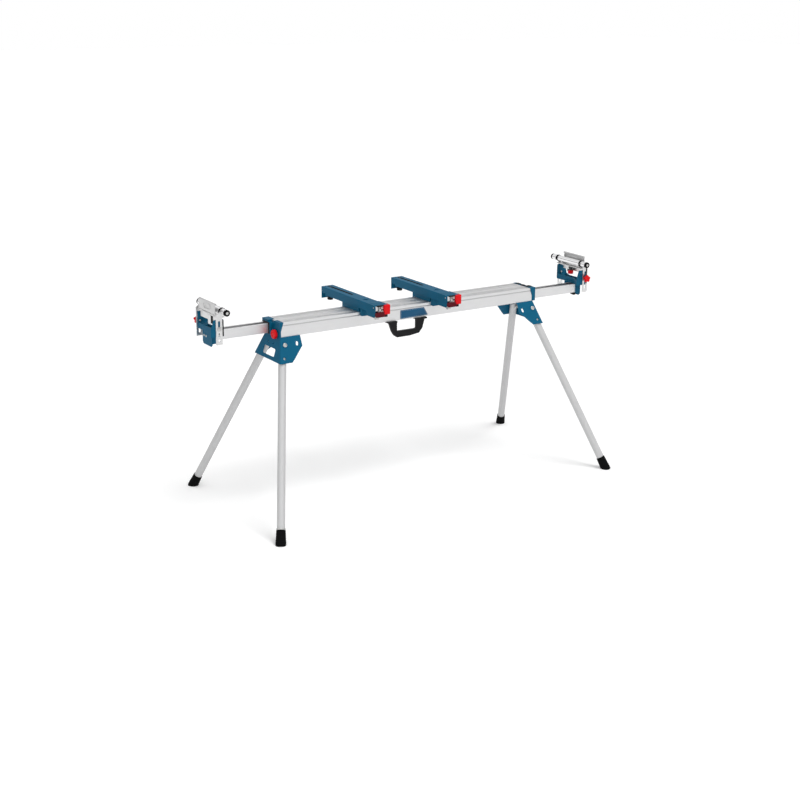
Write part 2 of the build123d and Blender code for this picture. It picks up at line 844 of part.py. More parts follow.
def ear_outline(left, right, shoulder):
    """Outline that joins a leg's shoulder to the round ear about the roller's axle."""
    slant = math.radians(ear_slant_angle)
    return [
        (left + edge_round, shoulder - ear_radius),
        (right, shoulder - edge_round),
        (roller_x + ear_radius * math.cos(slant), roller_z + ear_radius * math.sin(slant)),
        (roller_x - ear_radius, roller_z),
    ]


def make_carrier():
    """Bent sheet carrier: two slotted legs with roller ears, a strap and an apron with hinge pins."""
    inner = side_plate_face + carrier_gap
    outer = inner + carrier_sheet
    left = arm_end - carrier_width / 2
    right = arm_end + carrier_width / 2
    bottom = clamp_z - carrier_below_clamp
    shoulder = roller_z - carrier_shoulder_drop
    side = block(left, right, inner, outer, bottom, shoulder)
    side = fillet(side.edges().filter_by(Axis.Y), edge_round)
    side += prism_y(ear_outline(left, right, shoulder), inner, outer)
    side += rod((roller_x, inner, roller_z), (0, 1, 0), ear_radius, carrier_sheet)
    slot_bottom = bottom + carrier_slot_foot
    slot_top = strap_z - carrier_slot_head
    slot = extrude(SlotOverall(slot_top - slot_bottom, 2 * (clamp_radius + clamp_gap)), 2 * outer)
    side -= facing((arm_end, 0, (slot_top + slot_bottom) / 2), (0, 1, 0), (0, 0, 1), slot)
    side -= rod((roller_x, 0, roller_z), (0, 1, 0), roller_axle_radius + shaft_gap, 2 * outer)
    body = side + mirror(side, Plane.XZ)
    apron_x = hinge_x - stop_knuckle_radius - carrier_sheet
    apron_half = inner - carrier_apron_inset
    apron_face = apron_x + carrier_sheet
    body += block(roller_x - carrier_strap_margin, apron_face, -inner, inner, strap_z, strap_top)
    apron_foot = strap_z - carrier_apron_drop
    body += block(apron_x, apron_face, -apron_half, apron_half, apron_foot, strap_top)
    half = stop_knuckle_length / 2
    for sign in (-1, 1):
        place = sign * stop_knuckle_spread
        body += rod((hinge_x, place - half, hinge_z), (0, 1, 0), stop_knuckle_radius, stop_knuckle_length)
        foot = hinge_z - stop_knuckle_radius
        body += block(apron_x, hinge_x, place - half, place + half, foot, hinge_z)
    reach = stop_knuckle_spread + stop_knuckle_length + half
    body += rod((hinge_x, -reach, hinge_z), (0, 1, 0), stop_pin_radius, 2 * reach)
    start = (stop_knob_x, 0, strap_z - overrun)
    body -= rod(start, (0, 0, 1), stop_screw_radius + shaft_gap, carrier_sheet + 2 * overrun)
    return body


def make_roller():
    """Chromed roller: a long middle tube and a short one outside each ear, on webs around the axle."""
    middle = side_plate_face + carrier_gap - roller_gap
    spans = [(-middle, middle), (roller_stub_start, roller_end), (-roller_end, -roller_stub_start)]
    bore = roller_radius - roller_wall
    solids = []
    for start, stop in spans:
        tube = rod((roller_x, start, roller_z), (0, 1, 0), roller_radius, stop - start)
        hollow = stop - start - 2 * roller_wall
        tube -= rod((roller_x, start + roller_wall, roller_z), (0, 1, 0), bore, hollow)
        tube -= rod((roller_x, start, roller_z), (0, 1, 0), roller_axle_radius, stop - start)
        solids.append(tube)
    return solids


def make_roller_axle():
    """Steel axle that turns with the roller in the carrier's ears."""
    length = roller_length - roller_cap
    return rod((roller_x, -length / 2, roller_z), (0, 1, 0), roller_axle_radius, length)


def make_roller_trim():
    """Rubber rings near the ears and the caps on the roller's ends."""
    solids = []
    ring_y = side_plate_face - ring_inset
    for sign in (-1, 1):
        ring = rod((roller_x, sign * ring_y - ring_width / 2, roller_z), (0, 1, 0), ring_radius, ring_width)
        ring = fillet(ring.edges().filter_by(GeomType.CIRCLE), ring_radius - roller_radius)
        ring -= rod((roller_x, -roller_length, roller_z), (0, 1, 0), roller_radius, 2 * roller_length)
        solids.append(ring)
        cap = Cylinder(roller_radius, roller_cap, align=low)
        cap = fillet(cap.edges().sort_by(Axis.Z)[-1], edge_round)
        cap -= Pos(0, 0, roller_cap - edge_round) * Cylinder(roller_cap_dimple, roller_cap, align=low)
        cap -= Cylinder(roller_axle_radius, roller_cap / 2, align=low)
        start = (roller_x, sign * roller_end, roller_z)
        solids.append(along(start, (0, sign, 0), cap))
    return solids


def make_stop_plate():
    """Flip-up stop: a plate with a curled top edge, an oblong window with a raised rim and knuckles."""
    left = hinge_x - stop_thickness / 2
    right = hinge_x + stop_thickness / 2
    half = side_plate_face - stop_inset
    bottom = hinge_z + stop_knuckle_radius + run_gap
    top = hinge_z + stop_height
    curl_x = right - stop_curl_radius
    curl_z = top - stop_curl_radius
    plate = block(left, right, -half, half, bottom, curl_z)
    plate += rod((curl_x, -half, curl_z), (0, 1, 0), stop_curl_radius, 2 * half)
    plate -= rod((curl_x, -half, curl_z), (0, 1, 0), stop_curl_radius - stop_thickness, 2 * half)
    rim_length = stop_window_length + 2 * stop_window_rim
    rim_height = stop_window_height + 2 * stop_window_rim
    rim = extrude(SlotOverall(rim_length, rim_height), stop_thickness + stop_window_rim_height)
    window = Pos(0, 0, -overrun) * extrude(
        SlotOverall(stop_window_length, stop_window_height), stop_thickness + 2 * overrun
    )
    middle = (left, 0, hinge_z + stop_window_rise)
    plate += facing(middle, (1, 0, 0), (0, 1, 0), rim)
    plate -= facing(middle, (1, 0, 0), (0, 1, 0), window)
    length = stop_knuckle_length - fit_gap
    near = stop_knuckle_spread + stop_knuckle_length / 2 + fit_gap
    for start in (near, -near - length):
        plate += rod((hinge_x, start, hinge_z), (0, 1, 0), stop_knuckle_radius, length)
        plate += block(left, right, start, start + length, hinge_z, bottom + stop_thickness)
        plate -= rod((hinge_x, start, hinge_z), (0, 1, 0), stop_pin_radius + shaft_gap, length)
    return plate


def lobed(core, lobe, reach, height, count):
    """Star grip: a core with round lobes about it."""
    grip = Cylinder(core, height, align=low)
    for turn in range(count):
        grip += Rot(0, 0, 360 * turn / count) * Pos(reach - lobe, 0, 0) * Cylinder(lobe, height, align=low)
    return grip


def make_stop_knob():
    """Knob and nut on an upright screw through the strap."""
    top = strap_z - stop_knob_drop
    bottom = top - stop_knob_height
    core = stop_knob_radius - stop_knob_lobe_radius / 2
    knob = Pos(stop_knob_x, 0, bottom) * lobed(
        core, stop_knob_lobe_radius, stop_knob_radius, stop_knob_height, stop_knob_lobes
    )
    nut = strap_z - fit_gap - stop_nut_height
    knob += hex_bar((stop_knob_x, 0, nut), (0, 0, 1), stop_nut_width, stop_nut_height)
    screw_top = strap_top + roller_gap
    knob += rod((stop_knob_x, 0, bottom), (0, 0, 1), stop_screw_radius, screw_top - bottom)
    return knob


def make_height_knob():
    """Five-lobed knob whose screw clamps the carrier to the bracket."""
    seat = side_plate_face + carrier_gap + carrier_sheet + fit_gap
    knob = Pos(0, 0, seat) * Cylinder(star_hub_radius, star_hub_height, align=low)
    knob += Pos(0, 0, seat + star_hub_height) * lobed(
        star_core_radius, star_lobe_radius, star_radius, star_height, star_lobes
    )
    screw = side_plate_face - side_plate_thickness - clamp_radius
    knob += Pos(0, 0, screw) * Cylinder(clamp_radius, seat - screw + star_hub_height, align=low)
    return along((arm_end, 0, clamp_z), (0, -1, 0), knob)


# Saw mount, built over x = 0 and moved to its place
def make_mount_rail():
    """Bent sheet rail: open underneath, long bolt slot, short cross slot, deep end plate."""
    half = rail_width / 2
    rail = block(-half, half, -rail_front, rail_back, rail_bottom, rail_top)
    rail = fillet(rail.edges().filter_by(Axis.Y).group_by(Axis.Z)[-1], rail_wall)
    inner = half - rail_wall
    notch_back = rail_back - rail_deck
    under = rail_bottom - overrun
    rail -= block(-inner, inner, -rail_front - overrun, notch_back, under, rail_top - rail_deck)
    rail -= block(
        -half - overrun, half + overrun, notch_back - rail_notch_length, notch_back,
        under, rail_bottom + rail_notch_rise,
    )
    rail += block(-half, half, notch_back, rail_back, rail_top - rail_end_drop, rail_bottom)
    slot = extrude(SlotOverall(slot_back - slot_front, slot_width), rail_deck + 2 * overrun)
    cut_bottom = rail_top - rail_deck - overrun
    rail -= facing((0, (slot_back + slot_front) / 2, cut_bottom), (0, 0, 1), (0, 1, 0), slot)
    for size_x, size_y in ((cross_length, cross_width), (cross_width, cross_depth)):
        rail -= Pos(0, -cross_place, cut_bottom) * Box(size_x, size_y, rail_deck + 2 * overrun, align=low)
    return rail


def hook(width, thickness):
    """Jaw behind the beam, with a lip for the beam's side groove."""
    inner = beam_side + pad_gap
    jaw = block(-width / 2, width / 2, inner, inner + thickness, beam_top - hook_drop, rail_bottom)
    lip_z = groove_centre_z - hook_lip_height / 2
    lip = block(-width / 2, width / 2, inner - hook_lip, inner, lip_z, lip_z + hook_lip_height)
    return jaw + lip


def make_mount_saddle():
    """Hollow block between rail and beam, with the fixed jaw behind the beam."""
    half = saddle_block_width / 2
    front = saddle_inset - beam_side
    back = beam_side + pad_gap + hook_thickness
    bottom = beam_top + pad_gap
    top = rail_top - rail_deck - fit_gap
    body = block(-half, half, front, back, bottom, top)
    body = fillet(body.edges().filter_by(Axis.Z), edge_round)
    body -= block(
        saddle_wall - half, half - saddle_wall, front + saddle_wall, beam_side - saddle_wall,
        bottom + saddle_wall, top + overrun,
    )
    return body + hook(saddle_block_width, hook_thickness)


def make_mount_housing():
    """Cast front end: a box open to the front, round above the lever's pin, with a tongue in the rail."""
    half = housing_width / 2
    top = rail_top + housing_rise
    bottom = rail_top - housing_drop
    body = block(-half, half, -housing_front, -rail_front, bottom, top)
    front_top = body.edges().filter_by(Axis.X).group_by(Axis.Z)[-1].sort_by(Axis.Y)[0]
    body = fillet(front_top, lever_pin_depth)
    inner = half - housing_wall
    body -= block(
        -inner, inner, -housing_front - overrun, -rail_front - housing_wall,
        bottom + housing_wall, top - housing_wall,
    )
    tongue_half = rail_width / 2 - rail_wall - fit_gap
    body += block(
        -tongue_half, tongue_half, -rail_front, housing_tongue - rail_front,
        rail_bottom, rail_top - rail_deck - fit_gap,
    )
    rod_z = rail_top - rod_drop
    body -= rod((0, -housing_front, rod_z), (0, 1, 0), rod_radius + run_gap, housing_front)
    start = (-housing_width, lever_pin_y, lever_pin_z)
    body -= rod(start, (1, 0, 0), lever_pin_radius + shaft_gap, 2 * housing_width)
    return body


def make_mount_jaw():
    """Moving jaw in front of the beam, with its pull rod and the claw that the lever's cam draws."""
    half = jaw_width / 2
    inner = -beam_side - pad_gap
    rod_z = rail_top - rod_drop
    jaw = mirror(hook(jaw_width, hook_thickness), Plane.XZ)
    jaw += block(-half, half, inner - hook_thickness, inner, rail_bottom, rail_top - rail_deck - pad_gap)
    jaw += rod((0, -rod_front, rod_z), (0, 1, 0), rod_radius, rod_front + inner)
    claw = block(
        -claw_width / 2, claw_width / 2, -rod_front - claw_depth, -rod_front,
        rod_z - claw_height / 2, rod_z + claw_height / 2,
    )
    claw -= block(
        claw_width / 2 - claw_notch_width, claw_width, -rod_front - claw_depth, -rod_front - claw_depth / 2,
        rod_z - claw_notch_height / 2, rod_z + claw_notch_height / 2,
    )
    return jaw + claw


def make_mount_lever():
    """Clamp lever: a framed plate over the housing's mouth, its hub outside the housing, its cam inside."""
    inner_y = -housing_front - lever_face_gap
    outer_y = inner_y - lever_thickness
    top = rail_top + housing_rise
    hub_left = housing_width / 2 + lever_side_gap
    plate = block(-lever_left, lever_right, outer_y, inner_y, top - lever_drop, top)
    plate = fillet(plate.edges().filter_by(Axis.Y), lever_round)
    plate -= block(
        -lever_window_left, lever_window_right, outer_y - overrun, inner_y + overrun,
        top - lever_window_bottom, top - lever_window_top,
    )
    plate += block(hub_left, lever_right, inner_y, lever_pin_y, lever_pin_z - lever_pin_depth, top)
    hub_width = lever_right - hub_left
    plate += rod((hub_left, lever_pin_y, lever_pin_z), (1, 0, 0), lever_pin_depth, hub_width)
    pin_start = -housing_width / 2
    plate += rod((pin_start, lever_pin_y, lever_pin_z), (1, 0, 0), lever_pin_radius, hub_left - pin_start)
    plate += rod(
        (-lever_cam_width / 2, lever_pin_y - lever_cam_throw, lever_pin_z), (1, 0, 0),
        lever_cam_radius, lever_cam_width,
    )
    return plate


def make_saw_bolt_washer():
    """Square washer that guides the saw bolt under the rail's slot."""
    top = rail_top - rail_deck - fit_gap
    centre = (0, saw_bolt_place, top - washer_thickness)
    washer = Pos(*centre) * Box(washer_width, washer_width, washer_thickness, align=low)
    washer -= rod(centre, (0, 0, 1), saw_bolt_radius + shaft_gap, washer_thickness)
    return washer


def make_saw_bolt_knob():
    """Knob on a hub, with its stud up through washer and slot."""
    bottom = rail_bottom - fit_gap - saw_knob_hub_height - saw_knob_height
    knob = Pos(0, saw_bolt_place, bottom) * fluted(
        saw_knob_radius, saw_knob_height, saw_knob_flutes, saw_knob_flute_radius
    )
    hub_length = saw_knob_height + saw_knob_hub_height
    knob += rod((0, saw_bolt_place, bottom), (0, 0, 1), saw_knob_hub_radius, hub_length)
    knob += rod((0, saw_bolt_place, bottom), (0, 0, 1), saw_bolt_radius, rail_top - bottom)
    return knob


def save(name, shapes):
    """Write one node; a list of solids becomes a group."""
    solids = []
    for shape in shapes if isinstance(shapes, list) else [shapes]:
        solids.extend(shape.solids())
    shape = solids[0] if len(solids) == 1 else Compound(children=solids)
    export_step(shape, os.path.join("parts", f"{name}.step"))


def save_pair(name, shapes):
    """Write the right node, and the left one as its half turn about the stand's middle."""
    shapes = shapes if isinstance(shapes, list) else [shapes]
    save(f"{name}_right", shapes)
    save(f"{name}_left", [Rot(0, 0, 180) * shape for shape in shapes])


def main():
    os.makedirs("parts", exist_ok=True)
    save("beam", make_beam())
    save("bracket_pins_and_bolts", make_pins_and_bolts())
    save("carry_handle", make_handle())
    for side in ("left", "right"):
        save(f"leg_bracket_{side}", make_bracket(side))
    for name in legs:
        save(f"leg_tube_{name}", make_leg_tube(name))
        save(f"leg_foot_{name}", make_foot(name))
        save(f"leg_button_{name}", make_leg_button(name))
    save("leg_foot_stud", make_foot_stud())
    pairs = {
        "end_casting": make_end_casting,
        "arm_bush": make_arm_bush,
        "arm": make_arm,
        "arm_glide": make_arm_glide,
        "arm_knob": make_arm_knob,
        "support_bracket": make_support_bracket,
        "support_fasteners": make_support_fasteners,
        "support_carrier": make_carrier,
        "support_roller": make_roller,
        "roller_axle": make_roller_axle,
        "roller_trim": make_roller_trim,
        "stop_plate": make_stop_plate,
        "stop_knob": make_stop_knob,
        "height_knob": make_height_knob,
    }
    for name, make in pairs.items():
        save_pair(name, make())
    mount = {
        "mount_rail": make_mount_rail(),
        "mount_saddle": make_mount_saddle(),
        "mount_housing": make_mount_housing(),
        "mount_jaw": make_mount_jaw(),
        "mount_lever": make_mount_lever(),
        "saw_bolt_washer": make_saw_bolt_washer(),
        "saw_bolt_knob": make_saw_bolt_knob(),
    }
    for side, x in mount_places.items():
        for name, shape in mount.items():
            save(f"{name}_{side}", Pos(x, 0, 0) * shape)


main()
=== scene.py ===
"""Dresses the folding miter saw stand: finishes for its solids and the fine pieces that they leave out."""

import functools
import itertools
import logging
import math
import operator
from collections.abc import Callable, Iterable, Sequence
from dataclasses import dataclass, replace
from enum import Enum

import bmesh
import bpy
import numpy as np
from bpy.types import Material, Node, NodeSocket, NodeTree, Object
from mathutils import Matrix

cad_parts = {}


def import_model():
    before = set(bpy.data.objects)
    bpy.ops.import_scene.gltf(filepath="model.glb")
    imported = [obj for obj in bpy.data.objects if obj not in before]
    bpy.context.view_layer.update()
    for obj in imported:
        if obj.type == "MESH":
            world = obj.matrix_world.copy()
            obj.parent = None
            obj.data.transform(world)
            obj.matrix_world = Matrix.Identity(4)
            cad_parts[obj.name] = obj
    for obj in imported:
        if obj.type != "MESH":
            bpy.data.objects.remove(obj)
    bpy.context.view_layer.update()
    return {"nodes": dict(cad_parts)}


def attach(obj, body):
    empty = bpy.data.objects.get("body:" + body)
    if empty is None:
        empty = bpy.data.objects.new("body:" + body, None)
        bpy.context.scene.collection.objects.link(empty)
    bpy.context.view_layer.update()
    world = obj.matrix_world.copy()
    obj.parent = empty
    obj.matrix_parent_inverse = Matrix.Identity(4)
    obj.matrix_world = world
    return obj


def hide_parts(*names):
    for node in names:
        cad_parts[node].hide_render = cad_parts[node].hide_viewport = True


log = logging.getLogger("saw_stand")
Array = np.ndarray
Triple = tuple[float, float, float]
Profile = Sequence[tuple[float, float]]
Shape = Callable[[Array, Array, Array], Array]

MM = 0.001
TAU = 2.0 * math.pi
IMAGE_SIZE = 800
ROUND_SEGMENTS = 64
FINE_SEGMENTS = 120
MEDIUM_SEGMENTS = 96
SMALL_SEGMENTS = 32
WELD_DISTANCE = 2e-6
SLIVER_LENGTH = 1e-6
RIBBED_CREASE = 80.0
M8_THREAD = (1.25, 0.65)
X, Y, Z = (1, 0, 0), (0, 1, 0), (0, 0, 1)
WHITE = (1.0, 1.0, 1.0, 1.0)
SIDES = ("left", "right")
ENDS = ("front", "rear")
MOUNT_PLACES = {"left": -240.5, "right": 108.5}


# Finishes


class Grain(Enum):
    """How a finish's fine pattern runs over a piece."""

    EVEN = (1.0, 1.0, 1.0)
    ALONG_X = (0.015, 1.0, 1.0)
    ALONG_Y = (1.0, 0.015, 1.0)
    ALONG_Z = (1.0, 1.0, 0.015)


def add_node(tree: NodeTree, kind: str, **sockets: float | Sequence[float]) -> Node:
    """New shader node with constants on its sockets.

    Args:
        tree: Node tree that it goes into.
        kind: Its type, after "ShaderNode".
        sockets: Constant by socket name, with "_" for each space.

    Returns:
        The node.
    """
    node = tree.nodes.new(f"ShaderNode{kind}")
    for name, value in sockets.items():
        node.inputs[name.replace("_", " ")].default_value = value
    return node


def mixed(tree: NodeTree, share: NodeSocket, first: NodeSocket | Triple, second: Triple) -> NodeSocket:
    """Colour that goes from the first to the second with a share.

    Args:
        tree: Node tree that it goes into.
        share: 0 for the first colour, 1 for the second.
        first: A colour, constant or worked out.
        second: A constant colour.

    Returns:
        The mixed colour.
    """
    mix = add_node(tree, "Mix")
    mix.data_type = "RGBA"
    tree.links.new(share, mix.inputs[0])
    if isinstance(first, NodeSocket):
        tree.links.new(first, mix.inputs[6])
    else:
        mix.inputs[6].default_value = (*first, 1.0)
    mix.inputs[7].default_value = (*second, 1.0)
    return mix.outputs[2]


@dataclass(frozen=True)
class Finish:
    """A surface finish: a colour that varies slowly, fine grain in roughness and bump, and lightened edges that are
    partly painted highlight and partly wear.
    """

    name: str
    colour: Triple
    roughness: float = 0.5
    metallic: float = 0.0
    grain: Grain = Grain.EVEN
    grain_scale: float = 900.0
    grain_bump: float = 0.05
    grain_depth: float = 0.0002
    roughness_spread: float = 0.08
    mottle: float = 0.06
    mottle_scale: float = 14.0
    edge_colour: Triple | None = None
    edge_amount: float = 0.35
    edge_radius: float = 0.0008
    coat: float = 0.0
    coat_roughness: float = 0.2
    specular: float = 0.5

    def build(self) -> Material:
        """Makes the material's nodes.

        Returns:
            The material, with every pattern read from Object coordinates.
        """
        material = bpy.data.materials.new(self.name)
        material.use_nodes = True
        tree = material.node_tree
        tree.nodes.clear()
        link = tree.links.new
        place = add_node(tree, "TexCoord")
        stretch = add_node(tree, "Mapping", Scale=self.grain.value)
        link(place.outputs["Object"], stretch.inputs["Vector"])
        slow = add_node(tree, "TexNoise", Scale=self.mottle_scale, Detail=4.0)
        fine = add_node(tree, "TexNoise", Scale=self.grain_scale, Detail=3.0)
        for noise in (slow, fine):
            link(stretch.outputs["Vector"], noise.inputs["Vector"])
        darker = tuple(channel * (1.0 - self.mottle) for channel in self.colour)
        lighter = tuple(min(1.0, channel * (1.0 + self.mottle)) for channel in self.colour)
        colour = mixed(tree, slow.outputs["Fac"], darker, lighter)
        smoothest = max(0.02, self.roughness - self.roughness_spread)
        roughest = min(1.0, self.roughness + self.roughness_spread)
        rough = add_node(tree, "MapRange", To_Min=smoothest, To_Max=roughest)
        link(fine.outputs["Fac"], rough.inputs["Value"])

        soft_edge = add_node(tree, "Bevel", Radius=self.edge_radius)
        soft_edge.samples = 4
        bump = add_node(tree, "Bump", Strength=self.grain_bump, Distance=self.grain_depth)
        link(fine.outputs["Fac"], bump.inputs["Height"])
        link(soft_edge.outputs["Normal"], bump.inputs["Normal"])
        # Edges get a lighter colour: painted highlight, partly wear.
        if self.edge_colour is not None:
            colour = self._edge_highlight_and_wear(tree, soft_edge, colour)

        shader = add_node(
            tree, "BsdfPrincipled", Metallic=self.metallic, Specular_IOR_Level=self.specular,
            Coat_Weight=self.coat, Coat_Roughness=self.coat_roughness,
        )
        link(colour, shader.inputs["Base Color"])
        link(rough.outputs["Result"], shader.inputs["Roughness"])
        link(bump.outputs["Normal"], shader.inputs["Normal"])
        output = add_node(tree, "OutputMaterial")
        link(shader.outputs["BSDF"], output.inputs["Surface"])
        return material

    def _edge_highlight_and_wear(self, tree: NodeTree, soft_edge: Node, colour: NodeSocket) -> NodeSocket:
        """Lightens the colour where the softened normal leaves the face's own, which is at an edge: a painted
        highlight along the edges, partly wear.

        Args:
            tree: The material's node tree.
            soft_edge: The node that softens the normal across edges.
            colour: The colour so far.

        Returns:
            The colour with the edges in it.
        """
        geometry = add_node(tree, "NewGeometry")
        turn = add_node(tree, "VectorMath")
        turn.operation = "DOT_PRODUCT"
        tree.links.new(soft_edge.outputs["Normal"], turn.inputs[0])
        tree.links.new(geometry.outputs["Normal"], turn.inputs[1])
        edge = add_node(tree, "MapRange", From_Min=0.995, From_Max=0.80, To_Max=self.edge_amount)
        tree.links.new(turn.outputs["Value"], edge.inputs["Value"])
        return mixed(tree, edge.outputs["Result"], colour, self.edge_colour)


BEAM_METAL = Finish(
    "satin_aluminium", (0.73, 0.73, 0.735), 0.42, 1.0, Grain.ALONG_X, 1400.0, 0.08, 0.0001,
    mottle=0.03, mottle_scale=90.0,
)
ARM_METAL = replace(BEAM_METAL, name="arm_aluminium", colour=(0.75, 0.75, 0.755), roughness=0.44)
# Deck aluminium, darker than the beam's: painted shade of the deck's fine ribs.
DECK_PAINTED_SHADE_METAL = replace(
    BEAM_METAL, name="deck_aluminium_painted_shade", colour=(0.64, 0.64, 0.645), roughness=0.46, mottle=0.04
)
# Groove finishes: darker aluminium that paints the shade inside the grooves.
SIDE_GROOVE_PAINTED_SHADE = replace(DECK_PAINTED_SHADE_METAL, name="side_groove_painted_shade", colour=(0.52, 0.52, 0.525))
GROOVE_PAINTED_SHADE = replace(
    DECK_PAINTED_SHADE_METAL, name="groove_painted_shade", colour=(0.30, 0.30, 0.305), roughness=0.5, mottle=0.06
)
# An edge_colour lightens a finish's edges: painted highlight, partly wear.
BLUE_SHEET = Finish(
    "blue_powder_coat", (0.002, 0.104, 0.198), 0.55, 0.0, Grain.EVEN, 1300.0, 0.14, 0.00025,
    mottle=0.05, edge_colour=(0.02, 0.20, 0.34), edge_amount=0.5,
    coat=0.16, coat_roughness=0.3, specular=0.05,
)
BLUE_CAST = Finish(
    "blue_cast_coat", (0.002, 0.100, 0.188), 0.55, 0.0, Grain.EVEN, 700.0, 0.22, 0.0004,
    mottle=0.07, edge_colour=(0.03, 0.24, 0.38), edge_amount=0.6,
    coat=0.16, coat_roughness=0.3, specular=0.05,
)
LEG_PAINT = Finish(
    "silver_leg_paint", (0.57, 0.57, 0.575), 0.45, 0.25, Grain.EVEN, 900.0, 0.06, 0.0001,
    mottle=0.02, coat_roughness=0.3, specular=0.3,
)
ZINC = Finish(
    "zinc_sheet", (0.70, 0.70, 0.70), 0.36, 1.0, Grain.ALONG_Z, 900.0, 0.08, 0.00012,
    mottle=0.06, mottle_scale=70.0,
)
STOP_SHEET = Finish(
    "stop_zinc_sheet", (0.60, 0.60, 0.60), 0.40, 1.0, Grain.ALONG_Y, 700.0, 0.16, 0.00015,
    mottle=0.12, mottle_scale=80.0,
)
STEEL = Finish(
    "plated_steel", (0.55, 0.55, 0.54), 0.30, 1.0, Grain.EVEN, 800.0, 0.06, 0.0001, mottle=0.05,
)
PALE_STEEL = Finish(
    "pale_steel", (0.90, 0.90, 0.90), 0.45, 0.1, Grain.EVEN, 800.0, 0.06, 0.0001, mottle=0.04, specular=0.3,
)
DARK_STEEL = Finish(
    "dark_steel", (0.06, 0.06, 0.06), 0.42, 1.0, Grain.EVEN, 800.0, 0.08, 0.0001, mottle=0.10,
    edge_colour=(0.25, 0.25, 0.24), edge_amount=0.6,
)
CHROME = Finish(
    "roller_chrome", (0.80, 0.80, 0.81), 0.10, 1.0, Grain.ALONG_Y, 500.0, 0.02, 0.00005,
    roughness_spread=0.03, mottle=0.02,
)
BLACK_PLASTIC = Finish(
    "black_plastic", (0.008, 0.008, 0.009), 0.5, 0.0, Grain.EVEN, 1500.0, 0.25, 0.0003,
    mottle=0.12, edge_colour=(0.03, 0.03, 0.034), edge_amount=0.5, specular=0.15,
)
RUBBER = Finish(
    "black_rubber", (0.004, 0.004, 0.0045), 0.65, 0.0, Grain.EVEN, 1100.0, 0.3, 0.0003, mottle=0.2,
    edge_colour=(0.014, 0.014, 0.016), edge_amount=0.5, specular=0.05,
)
RED_PLASTIC = Finish(
    "red_plastic", (0.72, 0.005, 0.010), 0.42, 0.0, Grain.EVEN, 1300.0, 0.12, 0.0002,
    mottle=0.05, edge_colour=(0.88, 0.02, 0.025), edge_amount=0.4, specular=0.15,
)
# Red darkened to paint the shade on the lever's lower bar.
RED_PAINTED_SHADE = Finish(
    "red_plastic_painted_shade", (0.11, 0.006, 0.012), 0.5, 0.0, Grain.EVEN, 1300.0, 0.15, 0.0002,
    mottle=0.08, edge_colour=(0.22, 0.012, 0.02), edge_amount=0.5, specular=0.15,
)
LABEL = Finish(
    "blue_label", (0.008, 0.085, 0.185), 0.35, 0.0, Grain.EVEN, 900.0, 0.03, 0.0001,
    mottle=0.04, coat=0.05, coat_roughness=0.1, specular=0.2,
)
LABEL_LINE = Finish(
    "label_line", (0.34, 0.46, 0.56), 0.3, 0.0, Grain.EVEN, 900.0, 0.03, 0.0001, mottle=0.03, specular=0.2,
)

FINISHED_NODES = (
    (BEAM_METAL, "beam"),
    (ARM_METAL, "arm"),
    (LEG_PAINT, "leg_tube"),
    (BLUE_SHEET, "leg_bracket mount_rail"),
    (BLUE_CAST, "end_casting support_bracket mount_saddle mount_housing mount_jaw"),
    (ZINC, "support_carrier"),
    (STOP_SHEET, "stop_plate"),
    (CHROME, "support_roller"),
    (STEEL, "bracket_pins_and_bolts leg_foot_stud leg_button support_fasteners roller_axle saw_bolt_washer"),
    (RUBBER, "leg_foot roller_trim"),
    (BLACK_PLASTIC, "carry_handle arm_bush arm_glide saw_bolt_knob"),
    (RED_PLASTIC, "arm_knob stop_knob height_knob mount_lever"),
)
NODE_FINISHES = {stem: finish for finish, stems in FINISHED_NODES for stem in stems.split()}


class Palette:
    """Builds each finish once and hands out its material."""

    def __init__(self) -> None:
        """Starts with no material made."""
        self._made: dict[str, Material] = {}

    def get(self, finish: Finish) -> Material:
        """Material of a finish, made at its first use.

        Args:
            finish: One of the stand's finishes.

        Returns:
            The shared material.
        """
        if finish.name not in self._made:
            self._made[finish.name] = finish.build()
        return self._made[finish.name]

    def dress_nodes(self, nodes: dict[str, Object]) -> None:
        """Gives every solid its finish, by the longest name that its own starts with.

        Args:
            nodes: The frame's solids by name.
        """
        for name, node in nodes.items():
            stem = max((key for key in NODE_FINISHES if name.startswith(key)), key=len)
            material = self.get(NODE_FINISHES[stem])
            if not node.material_slots:
                node.data.materials.append(material)
            for place in node.material_slots:
                place.material = material


# Surfaces worked out with numpy, in millimetres


@dataclass
class Surface:
    """Points and the quads between them."""

    points: Array
    quads: Array

    def __add__(self, other: "Surface") -> "Surface":
        """Both surfaces in one."""
        return Surface(
            np.vstack([self.points, other.points]), np.vstack([self.quads, other.quads + len(self.points)])
        )

    def shifted(self, x: float, y: float, z: float) -> "Surface":
        """The surface moved."""
        return Surface(self.points + np.array([x, y, z]), self.quads)

    def half_turned(self) -> "Surface":
        """The surface turned by half a turn about Z."""
        return Surface(self.points * np.array([-1.0, -1.0, 1.0]), self.quads)


def joined(surfaces: Iterable[Surface]) -> Surface:
    """All surfaces in one."""
    return functools.reduce(operator.add, surfaces)


def raised(profile: Profile, base: float) -> list[tuple[float, float]]:
    """Profile with its heights counted from a base."""
    return [(radius, base + height) for radius, height in profile]


def around(segments: int) -> Array:
    """Row of evenly spaced angles round an axis."""
    return (np.arange(segments) * TAU / segments)[None, :]


def grid(points: Array, wrap: bool) -> Surface:
    """Quads over an array of points, row by row; with wrap, each row's last point joins its first.

    Args:
        points: Array of rows by columns by 3.
        wrap: Whether the rows are closed.

    Returns:
        The surface.
    """
    rows, columns = points.shape[:2]
    row = np.arange(rows - 1)[:, None]
    column = np.arange(columns if wrap else columns - 1)[None, :]
    following = (column + 1) % columns
    near = row * columns + column
    beside = row * columns + following
    quads = np.stack([near, beside, beside + columns, near + columns], axis=-1).reshape(-1, 4)
    return Surface(points.reshape(-1, 3), quads)


def unit(vector: Sequence[float]) -> Array:
    """The vector at length 1."""
    values = np.asarray(vector, float)
    return values / np.linalg.norm(values)


